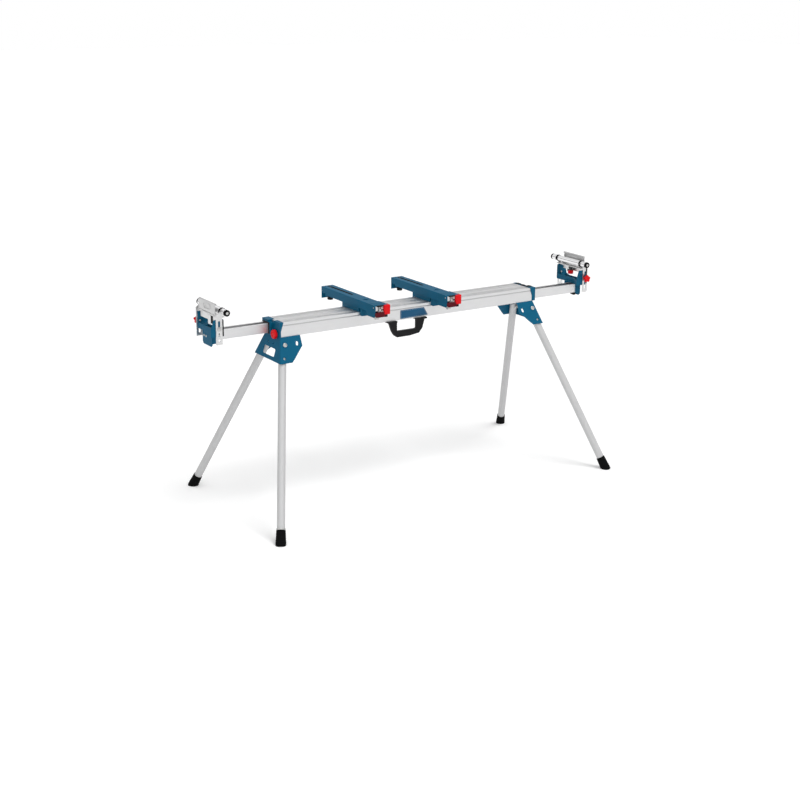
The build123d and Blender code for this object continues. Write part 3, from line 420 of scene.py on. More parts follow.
@dataclass(frozen=True)
class Axis:
    """A place and a direction to build along, with the direction that angle zero points in."""

    start: Triple
    along: Triple
    across: Triple

    def lay(self, radius: Array, angle: Array, height: Array) -> Array:
        """Point = start + across·r·cos a + (along × across)·r·sin a + along·h.

        Args:
            radius: Distances from the axis.
            angle: Angles about it.
            height: Heights along it.

        Returns:
            Array of points with the shape of the three, and 3 more.
        """
        ahead = unit(self.along)
        side = unit(np.asarray(self.across, float) - ahead * np.dot(self.across, ahead))
        other = np.cross(ahead, side)
        radius, angle, height = np.broadcast_arrays(radius, angle, height)
        flat = (radius * np.cos(angle))[..., None] * side + (radius * np.sin(angle))[..., None] * other
        return np.asarray(self.start, float) + flat + height[..., None] * ahead


def turned(
    axis: Axis, profile: Profile, segments: int = ROUND_SEGMENTS, shape: Shape | None = None
) -> Surface:
    """Profile of (radius, height) carried round the axis: P(i, j) = axis at radius r_i·s(r_i, a_j, h_i), angle a_j.

    Args:
        axis: Where it stands.
        profile: Points of radius and height, from one end to the other.
        segments: Steps round the axis.
        shape: Factor on the radius by radius, angle and height, for flutes and lobes.

    Returns:
        The surface, closed where the profile ends at radius 0.
    """
    table = np.asarray(profile, float)
    radius = table[:, 0][:, None]
    height = table[:, 1][:, None]
    angle = around(segments)
    factor = 1.0 if shape is None else shape(radius, angle, height)
    return grid(axis.lay(radius * factor, angle, height), wrap=True)


def ring(axis: Axis, section: Profile) -> Surface:
    """Closed section of (radius, height) carried round the axis, which gives a closed ring."""
    return turned(axis, [*section, section[0]])


def threaded(axis: Axis, radius: float, length: float, pitch: float, depth: float) -> Surface:
    """Screw thread: radius = R − depth·|2·frac(h/pitch − a/2π) − 1|, flat at both ends.

    Args:
        axis: Where the screw starts.
        radius: Its outer radius.
        length: Its length.
        pitch: Distance between turns.
        depth: Depth of the thread.

    Returns:
        The closed surface.
    """
    steps = max(4, int(round(length / pitch)) * 4)
    height = np.linspace(0.0, length, steps + 1)[:, None]
    angle = around(SMALL_SEGMENTS)
    turn = np.mod(height / pitch - angle / TAU, 1.0)
    wall = radius - depth * np.abs(2.0 * turn - 1.0)
    wall[[0, -1]] = radius - depth
    radius_grid = np.vstack([np.zeros_like(wall[:1]), wall, np.zeros_like(wall[:1])])
    height_grid = np.vstack([height[:1], height, height[-1:]])
    return grid(axis.lay(radius_grid, angle, height_grid), wrap=True)


def hexagon(axis: Axis, width: float, start: float, height: float, bore: float = 0.0) -> Surface:
    """Hexagon head: radius = (width/2)/cos of the angle to the nearest flat, its rim cut by a 30° cone.

    Args:
        axis: Where the head stands.
        width: Width across the flats.
        start: Height where it starts.
        height: Its own height.
        bore: Radius of a sunk round socket in its top, 0 for none.

    Returns:
        The closed surface.
    """
    angle = around(MEDIUM_SEGMENTS)
    flat = np.mod(angle + TAU / 12, TAU / 6) - TAU / 12
    outer = width / 2 / np.cos(flat)
    circle = np.full_like(outer, width / 2 * 0.97)
    drop = (outer - circle) * math.tan(math.radians(30.0))
    top = start + height
    zero = np.zeros_like(outer)
    radius = [zero, circle, outer, outer, circle]
    level = [zero + start, zero + start, start + drop, top - drop, zero + top]
    if bore > 0.0:
        radius += [zero + bore, zero + bore * 0.9, zero]
        level += [zero + top, zero + top - height * 0.5, zero + top - height * 0.5]
    else:
        radius.append(zero)
        level.append(zero + top)
    return grid(axis.lay(np.vstack(radius), angle, np.vstack(level)), wrap=True)


def cross_head(axis: Axis, radius: float, height: float) -> Surface:
    """Pan head with a cross recess: h = dome(r) − depth where |x| or |y| is under half the slot's width.

    Args:
        axis: Where the head sits, pointing out of it.
        radius: Its radius.
        height: Its height.

    Returns:
        The closed surface.
    """
    shares = np.array([0.0, 0.1, 0.16, 0.22, 0.3, 0.4, 0.5, 0.56, 0.62, 0.72, 0.84, 0.93, 0.98, 1.0])
    angle = around(ROUND_SEGMENTS)
    reach = shares[:, None]
    dome = height * (0.45 + 0.55 * np.sqrt(np.clip(1.0 - reach**3, 0.0, 1.0)))
    near = np.minimum(np.abs(reach * np.sin(angle)), np.abs(reach * np.cos(angle)))
    cut = np.clip((0.13 - near) / 0.05, 0.0, 1.0) * np.clip((0.6 - reach) / 0.06, 0.0, 1.0)
    level = dome - 0.55 * height * cut
    zero = np.zeros_like(level[:1])
    radius_grid = np.vstack([reach * radius + zero, zero + radius, zero])
    height_grid = np.vstack([level, zero, zero])
    return grid(axis.lay(radius_grid, angle, height_grid), wrap=True)


def rounded_outline(corners: Profile, radius: float, steps: int = 6) -> Array:
    """Outline with each corner turned on an arc that touches both of its sides.

    Args:
        corners: Corners in order.
        radius: Radius of the arcs.
        steps: Points on each arc.

    Returns:
        Array of n by 2 points.
    """
    corner = np.asarray(corners, float)
    before = np.roll(corner, 1, axis=0) - corner
    after = np.roll(corner, -1, axis=0) - corner
    before /= np.linalg.norm(before, axis=1, keepdims=True)
    after /= np.linalg.norm(after, axis=1, keepdims=True)
    half = np.arccos(np.clip(np.sum(before * after, axis=1), -1.0, 1.0)) / 2
    middle = before + after
    middle /= np.linalg.norm(middle, axis=1, keepdims=True)
    centre = corner + middle * (radius / np.sin(half))[:, None]
    touch = (radius / np.tan(half))[:, None]
    first = corner + before * touch - centre
    last = corner + after * touch - centre
    start = np.arctan2(first[:, 1], first[:, 0])
    sweep = np.mod(np.arctan2(last[:, 1], last[:, 0]) - start + math.pi, TAU) - math.pi
    angle = start[:, None] + sweep[:, None] * np.linspace(0.0, 1.0, steps)[None, :]
    arc = centre[:, None, :] + radius * np.stack([np.cos(angle), np.sin(angle)], axis=-1)
    return arc.reshape(-1, 2)


def outward(outline: Array) -> Array:
    """Outward normals of an outline that runs anticlockwise, halved at its points."""
    edge = np.roll(outline, -1, axis=0) - outline
    edge /= np.linalg.norm(edge, axis=1, keepdims=True)
    normal = np.stack([edge[:, 1], -edge[:, 0]], axis=1)
    both = normal + np.roll(normal, 1, axis=0)
    both /= np.linalg.norm(both, axis=1, keepdims=True)
    lean = np.sum(both * normal, axis=1, keepdims=True)
    return both / np.clip(lean, 0.4, 1.0)


@dataclass(frozen=True)
class Sheet:
    """A plane to lay outlines in: its origin, its two directions and the one that it faces."""

    origin: Triple
    right: Triple
    up: Triple

    def lay(self, flat: Array, height: Array) -> Array:
        """Point = origin + right·u + up·v + (right × up)·h."""
        right = np.asarray(self.right, float)
        up = np.asarray(self.up, float)
        face = np.cross(right, up)
        start = np.asarray(self.origin, float)
        return start + flat[..., :1] * right + flat[..., 1:] * up + height[..., None] * face


def inset_rings(outline: Array, inset: Array) -> Array:
    """The outline moved in by each inset, along its own normals."""
    return outline[None, :, :] - inset[:, None, None] * outward(outline)[None, :, :]


def slab(sheet: Sheet, outline: Array, levels: Profile) -> Surface:
    """Solid over an outline: ring k is the outline moved in by inset_k at height h_k, and both ends are closed.

    Args:
        sheet: The plane that it lies in.
        outline: Anticlockwise outline, star-shaped about its middle.
        levels: Pairs of inset and height, from the underside up.

    Returns:
        The closed surface.
    """
    table = np.asarray(levels, float)
    rings = inset_rings(outline, table[:, 0])
    middle = np.broadcast_to(outline.mean(axis=0), outline.shape)[None]
    flat = np.concatenate([middle, rings, middle])
    height = np.concatenate([table[:1, 1], table[:, 1], table[-1:, 1]])[:, None]
    return grid(sheet.lay(flat, np.broadcast_to(height, flat.shape[:2])), wrap=True)


def rim(sheet: Sheet, outline: Array, section: Profile) -> Surface:
    """Closed section of (inset, height) carried along an outline: point = outline − inset·normal, at its height.

    Args:
        sheet: The plane that the outline lies in.
        outline: Closed anticlockwise outline.
        section: Corners of the section; the last joins the first.

    Returns:
        The closed surface.
    """
    table = np.asarray([*section, section[0]], float)
    rings = inset_rings(outline, table[:, 0])
    height = np.broadcast_to(table[:, 1][:, None], rings.shape[:2])
    return grid(sheet.lay(rings, height), wrap=True)


def box_soft(low: Sequence[float], high: Sequence[float], soft: float) -> Surface:
    """Box with softened edges: rounded outline in XY, drawn in at the top and the bottom.

    Args:
        low: Lowest corner.
        high: Highest corner.
        soft: Radius of the edges.

    Returns:
        The closed surface.
    """
    corners = [(low[0], low[1]), (high[0], low[1]), (high[0], high[1]), (low[0], high[1])]
    outline = rounded_outline(corners, soft, 5)
    turn = np.linspace(0.0, math.pi / 2, 4)
    inset = soft * 0.98 * (1.0 - np.sin(turn))
    rise = soft * (1.0 - np.cos(turn))
    levels = [(a, low[2] + b) for a, b in zip(inset, rise)]
    levels += [(a, high[2] - b) for a, b in zip(inset[::-1], rise[::-1])]
    return slab(Sheet((0, 0, 0), X, Y), outline, levels)


def ridged(sheet: Sheet, across: Array, low: float, high: Array, length: float) -> Surface:
    """Bar of constant section: floor at height low, top at high(v) for each v across, carried along u.

    Args:
        sheet: The plane that it lies in; u is its right, v is its up.
        across: Values of v, rising.
        low: Height of the floor.
        high: Height of the top at each v.
        length: Length along u.

    Returns:
        The closed surface.
    """
    count = len(across)
    flat = np.zeros((2, 2, count, 2))
    flat[1, ..., 0] = length
    flat[..., 1] = across
    height = np.zeros((2, 2, count))
    height[:, 0] = low
    height[:, 1] = high
    points = sheet.lay(flat, height).reshape(-1, 3)
    step = np.arange(count - 1)
    floor, top, far_floor, far_top = (step + count * k for k in range(4))
    quads = np.concatenate([
        np.stack([floor, far_floor, far_floor + 1, floor + 1], axis=1),
        np.stack([top, top + 1, far_top + 1, far_top], axis=1),
        np.stack([floor, floor + 1, top + 1, top], axis=1),
        np.stack([far_floor, far_top, far_top + 1, far_floor + 1], axis=1),
    ])
    last = count - 1
    sides = np.array([
        [0, count, 3 * count, 2 * count],
        [last, last + 2 * count, last + 3 * count, last + count],
    ])
    return Surface(points, np.concatenate([quads, sides]))


@dataclass
class Workshop:
    """Turns surfaces into pieces that ride on the frame's bodies."""

    palette: Palette
    made: int = 0

    def piece(
        self,
        name: str,
        surface: Surface,
        body: str,
        slot: str,
        finish: Finish,
        replaces: Sequence[str] = (),
        crease: float = 32.0,
    ) -> None:
        """Makes a piece at the origin, of a surface in millimetres.

        Args:
            name: The piece's name.
            surface: Its points and quads.
            body: The body that it rides on.
            slot: The record's material slot; not used.
            finish: Its finish.
            replaces: The solids that it stands for.
            crease: Angle in degrees above which an edge shades sharp.
        """
        mesh = bpy.data.meshes.new(name)
        count = len(surface.quads)
        mesh.vertices.add(len(surface.points))
        mesh.vertices.foreach_set("co", (surface.points * MM).astype(np.float32).ravel())
        mesh.loops.add(count * 4)
        mesh.loops.foreach_set("vertex_index", surface.quads.astype(np.int32).ravel())
        mesh.polygons.add(count)
        mesh.polygons.foreach_set("loop_start", np.arange(count, dtype=np.int32) * 4)
        mesh.polygons.foreach_set("loop_total", np.full(count, 4, dtype=np.int32))
        mesh.update(calc_edges=True)
        shape = bmesh.new()
        shape.from_mesh(mesh)
        bmesh.ops.remove_doubles(shape, verts=shape.verts, dist=WELD_DISTANCE)
        bmesh.ops.dissolve_degenerate(shape, edges=shape.edges, dist=SLIVER_LENGTH)
        bmesh.ops.recalc_face_normals(shape, faces=shape.faces)
        shape.to_mesh(mesh)
        shape.free()
        mesh.polygons.foreach_set("use_smooth", np.ones(len(mesh.polygons), dtype=bool))
        mesh.set_sharp_from_angle(angle=math.radians(crease))
        mesh.update()
        thing = bpy.data.objects.new(name, mesh)
        bpy.context.scene.collection.objects.link(thing)
        mesh.materials.append(self.palette.get(finish))
        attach(thing, body)
        if replaces:
            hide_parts(*replaces)
        self.made += 1
        log.info("piece %s on %s, %d faces", name, body, len(mesh.polygons))


# Sub-assemblies


@dataclass
class BeamDress:
    """Ribs of the beam's deck in a darker aluminium that paints their shade, dark sheets in its grooves and black
    pads at one end that paint shade, its label plate and the screws of its handle.
    """

    shop: Workshop
    front_y: float = -60.0
    label_corners: tuple[tuple[float, float], ...] = ((-65.0, 723.8), (73.0, 725.8), (52.0, 761.0), (-65.5, 761.0))
    label_round: float = 3.0
    label_thickness: float = 1.0
    line_inset: float = 3.2
    line_width: float = 0.8
    handle_screws_x: tuple[float, ...] = (-119.0, -97.0, 22.0, 50.0)
    handle_screws_y: float = -45.5
    flange_z: float = 713.85
    deck_z: float = 778.0
    deck_end: float = 613.6
    groove_end: float = 624.6
    deck_flats: tuple[tuple[float, float], ...] = ((-34.2, -16.6), (16.6, 34.2), (42.6, 59.4))
    deck_grooves: tuple[tuple[float, float, float], ...] = (
        (-42.3, -34.5, 774.0), (34.5, 42.3, 774.0), (-16.3, -12.5, 776.0), (12.5, 16.3, 776.0),
    )
    rib_pitch: float = 1.6
    rib_height: float = 0.2
    side_groove: tuple[float, float] = (763.55, 767.85)
    side_groove_floor: float = 58.4
    # Black pads at the deck's end: painted shade of the end casting's humps.
    end_shade_pads: tuple[tuple[Triple, Triple], ...] = (
        ((615.0, 23.5, 779.3), (630.4, 46.0, 781.6)),
        ((615.5, -9.5, 770.4), (630.4, 12.7, 781.2)),
        ((615.0, -41.0, 779.3), (641.0, -19.0, 781.6)),
    )

    def _bars(self, name: str, bars: Iterable[Surface], finish: Finish) -> None:
        """Makes long ribbed bars into one piece of the beam."""
        self.shop.piece(name, joined(bars), "stand", "aluminium", finish, crease=RIBBED_CREASE)

    def _floor(self, sheet: Sheet, edges: tuple[float, float], base: float, depth: float) -> Surface:
        """Thin sheet on a groove's bottom, in a dark finish that paints the groove's shade: height = base + 0.05 +
        depth·cos²(2·pi·share of the way across).

        Args:
            sheet: The plane that it lies in.
            edges: Where the groove starts and ends across.
            base: Height of the groove's bottom.
            depth: Height of the floor's waves.

        Returns:
            The closed surface.
        """
        low, high = edges
        across = np.linspace(low, high, 9)
        top = base + 0.05 + depth * np.cos(TAU * (across - low) / (high - low)) ** 2
        return ridged(sheet, across, base - 0.03, top, 2.0 * self.groove_end)

    def _deck(self) -> None:
        """Fine ribs on the deck's flats: height = H·|sin(pi·y/pitch)|, in a darker aluminium that paints their
        shade, and dark sheets in all grooves that paint the grooves' shade.
        """
        sheet = Sheet((-self.deck_end, 0.0, self.deck_z), X, Y)
        ribs = []
        for low, high in self.deck_flats:
            across = np.linspace(low, high, int((high - low) / self.rib_pitch) * 6 + 1)
            wave = 0.02 + self.rib_height * np.abs(np.sin(math.pi * (across - low) / self.rib_pitch))
            ribs.append(ridged(sheet, across, -0.05, wave, 2.0 * self.deck_end))
        # The ribs take the darker deck finish, which is painted shade.
        self._bars("deck_ribs", ribs, DECK_PAINTED_SHADE_METAL)
        # Dark sheets on the grooves' bottoms are painted shade.
        floors = (
            self._floor(Sheet((-self.groove_end, 0.0, floor), X, Y), (low, high), 0.0, 0.12)
            for low, high, floor in self.deck_grooves
        )
        self._bars("deck_groove_shade_floors", floors, GROOVE_PAINTED_SHADE)
        # Dark sheets in the side grooves are painted shade.
        sheets = (Sheet((sign * self.groove_end, 0.0, 0.0), (-sign, 0, 0), Z) for sign in (-1, 1))
        sides = (self._floor(sheet, self.side_groove, self.side_groove_floor, 0.1) for sheet in sheets)
        self._bars("side_groove_shade_floors", sides, SIDE_GROOVE_PAINTED_SHADE)

    def build(self) -> None:
        """Makes the deck's ribs, the black pads at its end that paint shade, the label plate with its line, and the
        handle's screws.
        """
        self._deck()
        # Black pads that paint shade at the deck's end.
        pads = joined(box_soft(low, high, 0.8) for low, high in self.end_shade_pads)
        self.shop.piece("deck_end_shade_pads", pads, "stand", "black_plastic", BLACK_PLASTIC)
        face = Sheet((0.0, self.front_y, 0.0), X, Z)
        outline = rounded_outline(self.label_corners, self.label_round)
        thick = self.label_thickness
        plate = slab(face, outline, [(0.0, 0.0), (0.0, thick * 0.6), (0.12, thick * 0.88), (0.4, thick)])
        self.shop.piece("beam_label_plate", plate, "stand", "blue_sheet", LABEL)
        outer, inner = self.line_inset - self.line_width / 2, self.line_inset + self.line_width / 2
        low, high = thick - 0.1, thick + 0.12
        line = rim(face, outline, [(outer, low), (inner, low), (inner, high), (outer, high)])
        self.shop.piece("beam_label_line", line, "stand", "blue_sheet", LABEL_LINE)
        places = ((x, self.handle_screws_y, self.flange_z) for x in self.handle_screws_x)
        heads = joined(cross_head(Axis(place, (0, 0, -1), X), 4.4, 2.6) for place in places)
        self.shop.piece("handle_screws", heads, "stand", "steel", STEEL)


@dataclass(frozen=True)
class LegPlace:
    """Where a leg lies, from the same sizes as its solids."""

    side: str
    end: str
    pivot_x: float = 619.0
    pivot_y: float = 58.8
    pivot_z: float = 683.0
    reach_x: float = 199.0
    reach_y: float = 329.2
    fold_inward: float = 2.55
    fold_drop_right: float = 5.6
    tube_radius: float = 16.0
    tube_gap: float = 1.5
    sheet: float = 3.0

    @property
    def name(self) -> str:
        """The leg's name."""
        return f"{self.end}_{self.side}"

    @property
    def signs(self) -> tuple[int, int]:
        """Sign of X and of Y."""
        return (-1 if self.side == "left" else 1, -1 if self.end == "front" else 1)

    @property
    def pivot(self) -> Array:
        """The hinge pin's middle."""
        sx, sy = self.signs
        return np.array([sx * self.pivot_x, sy * self.pivot_y, self.pivot_z])

    @property
    def down(self) -> Array:
        """Direction from the pivot to the foot."""
        sx, sy = self.signs
        return unit((sx * self.reach_x, sy * self.reach_y, -self.pivot_z))

    @property
    def length(self) -> float:
        """Distance from the pivot to the ground point."""
        return math.sqrt(self.reach_x**2 + self.reach_y**2 + self.pivot_z**2)

    @property
    def out(self) -> Array:
        """Direction of the hinge pin, out through the wing."""
        sx, sy = self.signs
        inward = math.radians(self.fold_inward)
        drop = math.radians(0.0 if self.side == "left" else self.fold_drop_right)
        folded = np.array(
            [-sx * math.cos(inward) * math.cos(drop), -sy * math.sin(inward) * math.cos(drop), -math.sin(drop)]
        )
        axis = unit(np.cross(self.down, folded))
        return axis * math.copysign(1.0, axis[1] * sy)

    def along_leg(self, height: float) -> Axis:
        """Axis up the leg that starts at a height over the ground point."""
        start = self.pivot + self.down * (self.length - height)
        return Axis(tuple(start), tuple(-self.down), tuple(self.out))

    def wing_distance(self, depth: float, radius: float) -> float:
        """How far along the pin a disc of this radius clears a wall at depth from the pivot."""
        normal = unit((0.0, self.signs[1], self.reach_y / self.pivot_z))
        lean = float(np.dot(self.out, normal))
        return depth / lean + radius * math.sqrt(1.0 - lean**2) / lean


@dataclass
class LegDress:
    """Moulded boot and, on one leg, the levelling screw with its bright collar."""

    shop: Workshop
    place: LegPlace
    adjustable: bool
    boot_ribs: int = 20
    knurls: int = 48

    def build(self) -> None:
        """Makes the leg's pieces."""
        self._boot()
        if self.adjustable:
            self._levelling_screw()

    def _boot(self) -> None:
        """Boot: profile with two grooves and a lip, a ribbed skirt, and all points kept above the ground."""
        wall = 6.0 if self.adjustable else self.place.tube_radius + 0.03
        profile = [
            (0.0, -8.0), (18.2, -8.0), (20.2, -7.0), (20.9, -5.0), (20.9, 4.0), (20.9, 9.0), (20.8, 11.0),
            (20.0, 11.7), (19.9, 13.3), (20.7, 14.0), (20.6, 17.5), (20.3, 19.0), (19.3, 19.7), (19.2, 21.3),
            (19.9, 22.0), (19.7, 26.0), (19.35, 34.0), (19.0, 44.0), (18.7, 48.5), (17.9, 49.2), (17.9, 50.4),
            (18.6, 51.0), (18.6, 54.0), (18.2, 56.0), (17.2, 57.0), (wall + 0.4, 57.0), (wall, 56.6), (wall, 22.0),
            (0.0, 22.0),
        ]

        def skirt(radius: Array, angle: Array, height: Array) -> Array:
            """1 − 0.035·(ribs' dips), under the first groove only."""
            dip = np.clip(np.cos(angle * self.boot_ribs), 0.0, 1.0) ** 4
            return 1.0 - 0.035 * dip * (height < 10.0) * (height > -7.5) * (radius > 19.0)

        axis = self.place.along_leg(0.0)
        boot = turned(axis, profile, FINE_SEGMENTS, skirt)
        below = np.minimum(boot.points[:, 2], 0.0)
        slide = below[:, None] / self.place.down[2] * self.place.down[None, :]
        boot.points = boot.points - slide
        name = self.place.name
        body = f"foot_{name}" if self.adjustable else f"leg_{name}"
        self.shop.piece(f"foot_boot_{name}", boot, body, "rubber", RUBBER, [f"leg_foot_{name}"])

    def _levelling_screw(self) -> None:
        """Threaded stud of the foot and the knurled collar on the tube's end."""
        name = self.place.name
        stud = threaded(self.place.along_leg(21.0), 6.0, 70.0, 1.75, 0.9)
        self.shop.piece(f"foot_screw_{name}", stud, f"foot_{name}", "steel", STEEL, ["leg_foot_stud"])

        def knurl(radius: Array, angle: Array, height: Array) -> Array:
            """1 + 0.012·cos(knurls·angle), on the outer wall."""
            return 1.0 + 0.012 * np.cos(angle * self.knurls) * (radius > 17.6)

        section = [(16.02, 57.5), (17.3, 57.5), (17.9, 58.1), (17.9, 63.6), (17.3, 64.2), (16.02, 64.2)]
        collar = turned(self.place.along_leg(0.0), [*section, section[0]], 4 * self.knurls, knurl)
        self.shop.piece(f"foot_collar_{name}", collar, f"leg_{name}", "steel", STEEL)


@dataclass
class BracketDress:
    """Hinge pins with washers and nuts, and the flanged bolts under the beam."""

    shop: Workshop
    legs: Sequence[LegPlace]
    bolt_x: float = 583.5
    bolt_spread_x: float = 44.0
    bolt_spread_y: float = 26.0
    plate_z: float = 717.0
    flange: Profile = ((0.0, 0.0), (7.3, 0.0), (7.5, 0.3), (7.4, 0.9), (6.3, 1.4), (0.0, 1.4))

    def build(self) -> None:
        """Makes all pins and bolts as one piece that stands for their node."""
        metal = []
        for leg in self.legs:
            seat = leg.wing_distance(leg.tube_radius + leg.tube_gap + leg.sheet, 9.0)
            axis = Axis(tuple(leg.pivot), tuple(leg.out), tuple(leg.down))
            inner = -(leg.tube_radius + leg.tube_gap + 7.0)
            shank = raised([(0.0, 0.0), (4.6, 0.0), (4.95, 0.4)], inner)
            head = raised([
                (4.95, 0.0), (8.2, 0.0), (8.8, 0.4), (9.0, 1.2), (8.8, 2.4), (8.0, 3.4), (6.8, 3.9),
                (6.1, 3.8), (5.7, 3.0), (5.6, 0.4), (0.0, 0.3),
            ], seat)
            metal += [turned(axis, shank + head), hexagon(axis, 17.0, inner, 7.0)]
        for sx, sy, step in itertools.product((-1, 1), repeat=3):
            x = sx * self.bolt_x + step * self.bolt_spread_x / 2
            axis = Axis((x, sy * self.bolt_spread_y / 2, self.plate_z), (0, 0, -1), X)
            metal += [turned(axis, self.flange), hexagon(axis, 12.9, 1.2, 3.8, 3.4)]
        self.shop.piece("pins_and_bolts", joined(metal), "stand", "steel", STEEL, ["bracket_pins_and_bolts"])


@dataclass
class SideDress:
    """Pieces of one side, drawn for the right side."""

    shop: Workshop
    side: str

    def _placed(self, surface: Surface) -> Surface:
        """The right side's surface, or its half turn for the left."""
        return surface if self.side == "right" else surface.half_turned()

    def _add(
        self, name: str, surface: Surface, body: str, slot: str, finish: Finish, *replaces: str
    ) -> None:
        """Makes a piece of this side.

        Args:
            name: Its name, without the side.
            surface: Its surface, drawn for the right side.
            body: The body that it rides on, without the side.
            slot: The record's material slot.
            finish: Its finish.
            replaces: The solids that it stands for, without the side.
        """
        name, body, *stood_for = (f"{word}_{self.side}" for word in (name, body, *replaces))
        self.shop.piece(name, self._placed(surface), body, slot, finish, stood_for)


@dataclass
class ArmDress(SideDress):
    """Clamp knob of one arm."""

    face: Triple = (631.0, 29.25, 729.0)
    flutes: int = 10

    def build(self) -> None:
        """Makes the knob and its screw."""
        def grip(radius: Array, angle: Array, height: Array) -> Array:
            """1 − 0.075·(flutes' dips)·(how near the rim)."""
            dip = np.clip(np.cos(angle * self.flutes), 0.0, 1.0) ** 2
            return 1.0 - 0.075 * dip * np.clip((radius - 13.0) / 4.0, 0.0, 1.0)

        knob = turned(Axis(self.face, X, Y), [
            (0.0, 0.06), (7.6, 0.06), (8.0, 0.4), (8.0, 2.0), (14.0, 2.0), (16.8, 2.3), (18.1, 3.1), (18.5, 4.5),
            (18.5, 7.0), (18.5, 11.0), (18.2, 12.8), (17.2, 14.3), (15.2, 14.95), (12.0, 15.0), (10.4, 14.9),
            (9.6, 14.3), (9.2, 13.4), (8.6, 13.1), (5.0, 13.1), (4.6, 13.6), (3.6, 13.9), (0.0, 14.0),
        ], FINE_SEGMENTS, grip)
        self._add("arm_knob_grip", knob, "arm_knob", "red_plastic", RED_PLASTIC, "arm_knob")
        start = (self.face[0] - 20.0, self.face[1], self.face[2])
        screw = threaded(Axis(start, X, Y), 4.0, 21.0, *M8_THREAD)
        self._add("arm_knob_screw", screw, "arm_knob", "steel", STEEL)


